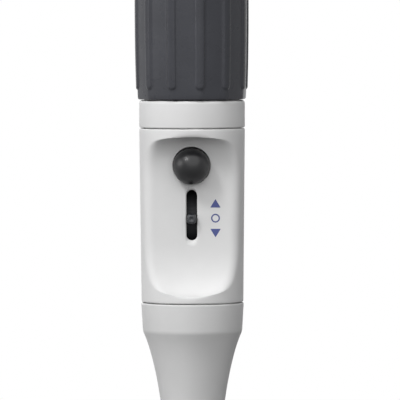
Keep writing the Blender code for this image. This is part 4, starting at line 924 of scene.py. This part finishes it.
def make_floor():
    """A pale floor that carries the object's shadow. Further off it shows as the white background."""
    bpy.ops.mesh.primitive_plane_add(size=FLOOR_SIZE, location=(0, 0, FLOOR_Z))
    floor = bpy.context.object
    floor.name = "floor"
    material = bpy.data.materials.new("floor")
    material.use_nodes = True
    tree = material.node_tree
    shader = tree.nodes["Principled BSDF"]
    shader.inputs["Roughness"].default_value = 0.9
    seen = seen_as_background(tree)
    colour = tree.nodes.new("ShaderNodeMix")
    colour.data_type = "RGBA"
    colour.inputs["A"].default_value = FLOOR_BOUNCE
    colour.inputs["B"].default_value = FLOOR_COLOUR
    tree.links.new(seen, colour.inputs["Factor"])
    tree.links.new(colour.outputs["Result"], shader.inputs["Base Color"])
    white = tree.nodes.new("ShaderNodeEmission")
    place = tree.nodes.new("ShaderNodeTexCoord")
    distance = tree.nodes.new("ShaderNodeVectorMath")
    distance.operation = "LENGTH"
    tree.links.new(place.outputs["Object"], distance.inputs[0])
    fade = tree.nodes.new("ShaderNodeMapRange")
    fade.inputs["From Min"].default_value = FADE_START
    fade.inputs["From Max"].default_value = FADE_END
    tree.links.new(distance.outputs["Value"], fade.inputs["Value"])
    share = tree.nodes.new("ShaderNodeMath")
    share.operation = "MULTIPLY"
    tree.links.new(fade.outputs["Result"], share.inputs[0])
    tree.links.new(seen, share.inputs[1])
    surfaces = (shader.outputs["BSDF"], white.outputs["Emission"])
    mix_shaders(tree, share.outputs["Value"], *surfaces, "Material Output")
    floor.data.materials.append(material)


def make_lights():
    """A compact key up on the left, a broad lamp in front, a low one on the left and two behind."""
    middle = Vector((0, 0, 100 * MM))
    for name, azimuth, elevation, size, power in LAMPS:
        turn, rise = math.radians(azimuth), math.radians(elevation)
        level = math.cos(rise)
        away = Vector((level * math.sin(turn), -level * math.cos(turn), math.sin(rise)))
        light = bpy.data.lights.new(name, "AREA")
        light.shape = "DISK"
        light.size = size
        light.energy = power
        item = add_object(name, light)
        item.location = middle + LAMP_DISTANCE * away
        item.rotation_euler = (middle - item.location).to_track_quat("-Z", "Y").to_euler()


def make_camera():
    """The photograph's view: nearly level, from far away and a little from the right."""
    distance, rise, turn = 2.02, math.radians(2.2), math.radians(1.2)
    aim = Vector((2.82 * MM, 0.0, 97.45 * MM))
    camera = bpy.data.cameras.new("camera")
    camera.sensor_width = 36.0
    camera.lens = 500.0
    camera.clip_end = 100.0
    item = add_object("camera", camera)
    level, height = distance * math.cos(rise), distance * math.sin(rise)
    item.location = aim + Vector((level * math.sin(turn), -level * math.cos(turn), height))
    look = (aim - item.location).to_track_quat("-Z", "Y").to_matrix().to_4x4()
    roll = Matrix.Rotation(math.radians(-0.15), 4, "Z")
    item.rotation_euler = (look @ roll).to_euler()
    bpy.context.scene.camera = item
    bpy.context.scene.view_settings.view_transform = "Standard"


with open("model.json") as file:
    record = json.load(file)
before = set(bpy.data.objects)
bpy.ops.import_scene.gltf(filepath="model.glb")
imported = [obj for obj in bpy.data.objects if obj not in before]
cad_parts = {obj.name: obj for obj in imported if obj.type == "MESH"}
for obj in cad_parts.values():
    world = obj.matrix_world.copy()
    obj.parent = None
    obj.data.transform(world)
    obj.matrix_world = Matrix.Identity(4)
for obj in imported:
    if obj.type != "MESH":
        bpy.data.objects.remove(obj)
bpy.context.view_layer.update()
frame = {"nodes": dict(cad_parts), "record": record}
materials = make_materials()
dress_nodes(frame, materials)
make_casing(materials)
make_blow_out_ball(materials)
make_collar(materials)
make_bulb(materials)
make_nose(materials)
make_adapter(materials)
make_float(materials)
make_lever(materials)
make_marks(materials)
make_thread(materials)
make_springs(materials)
make_world()
make_floor()
make_lights()
make_camera()
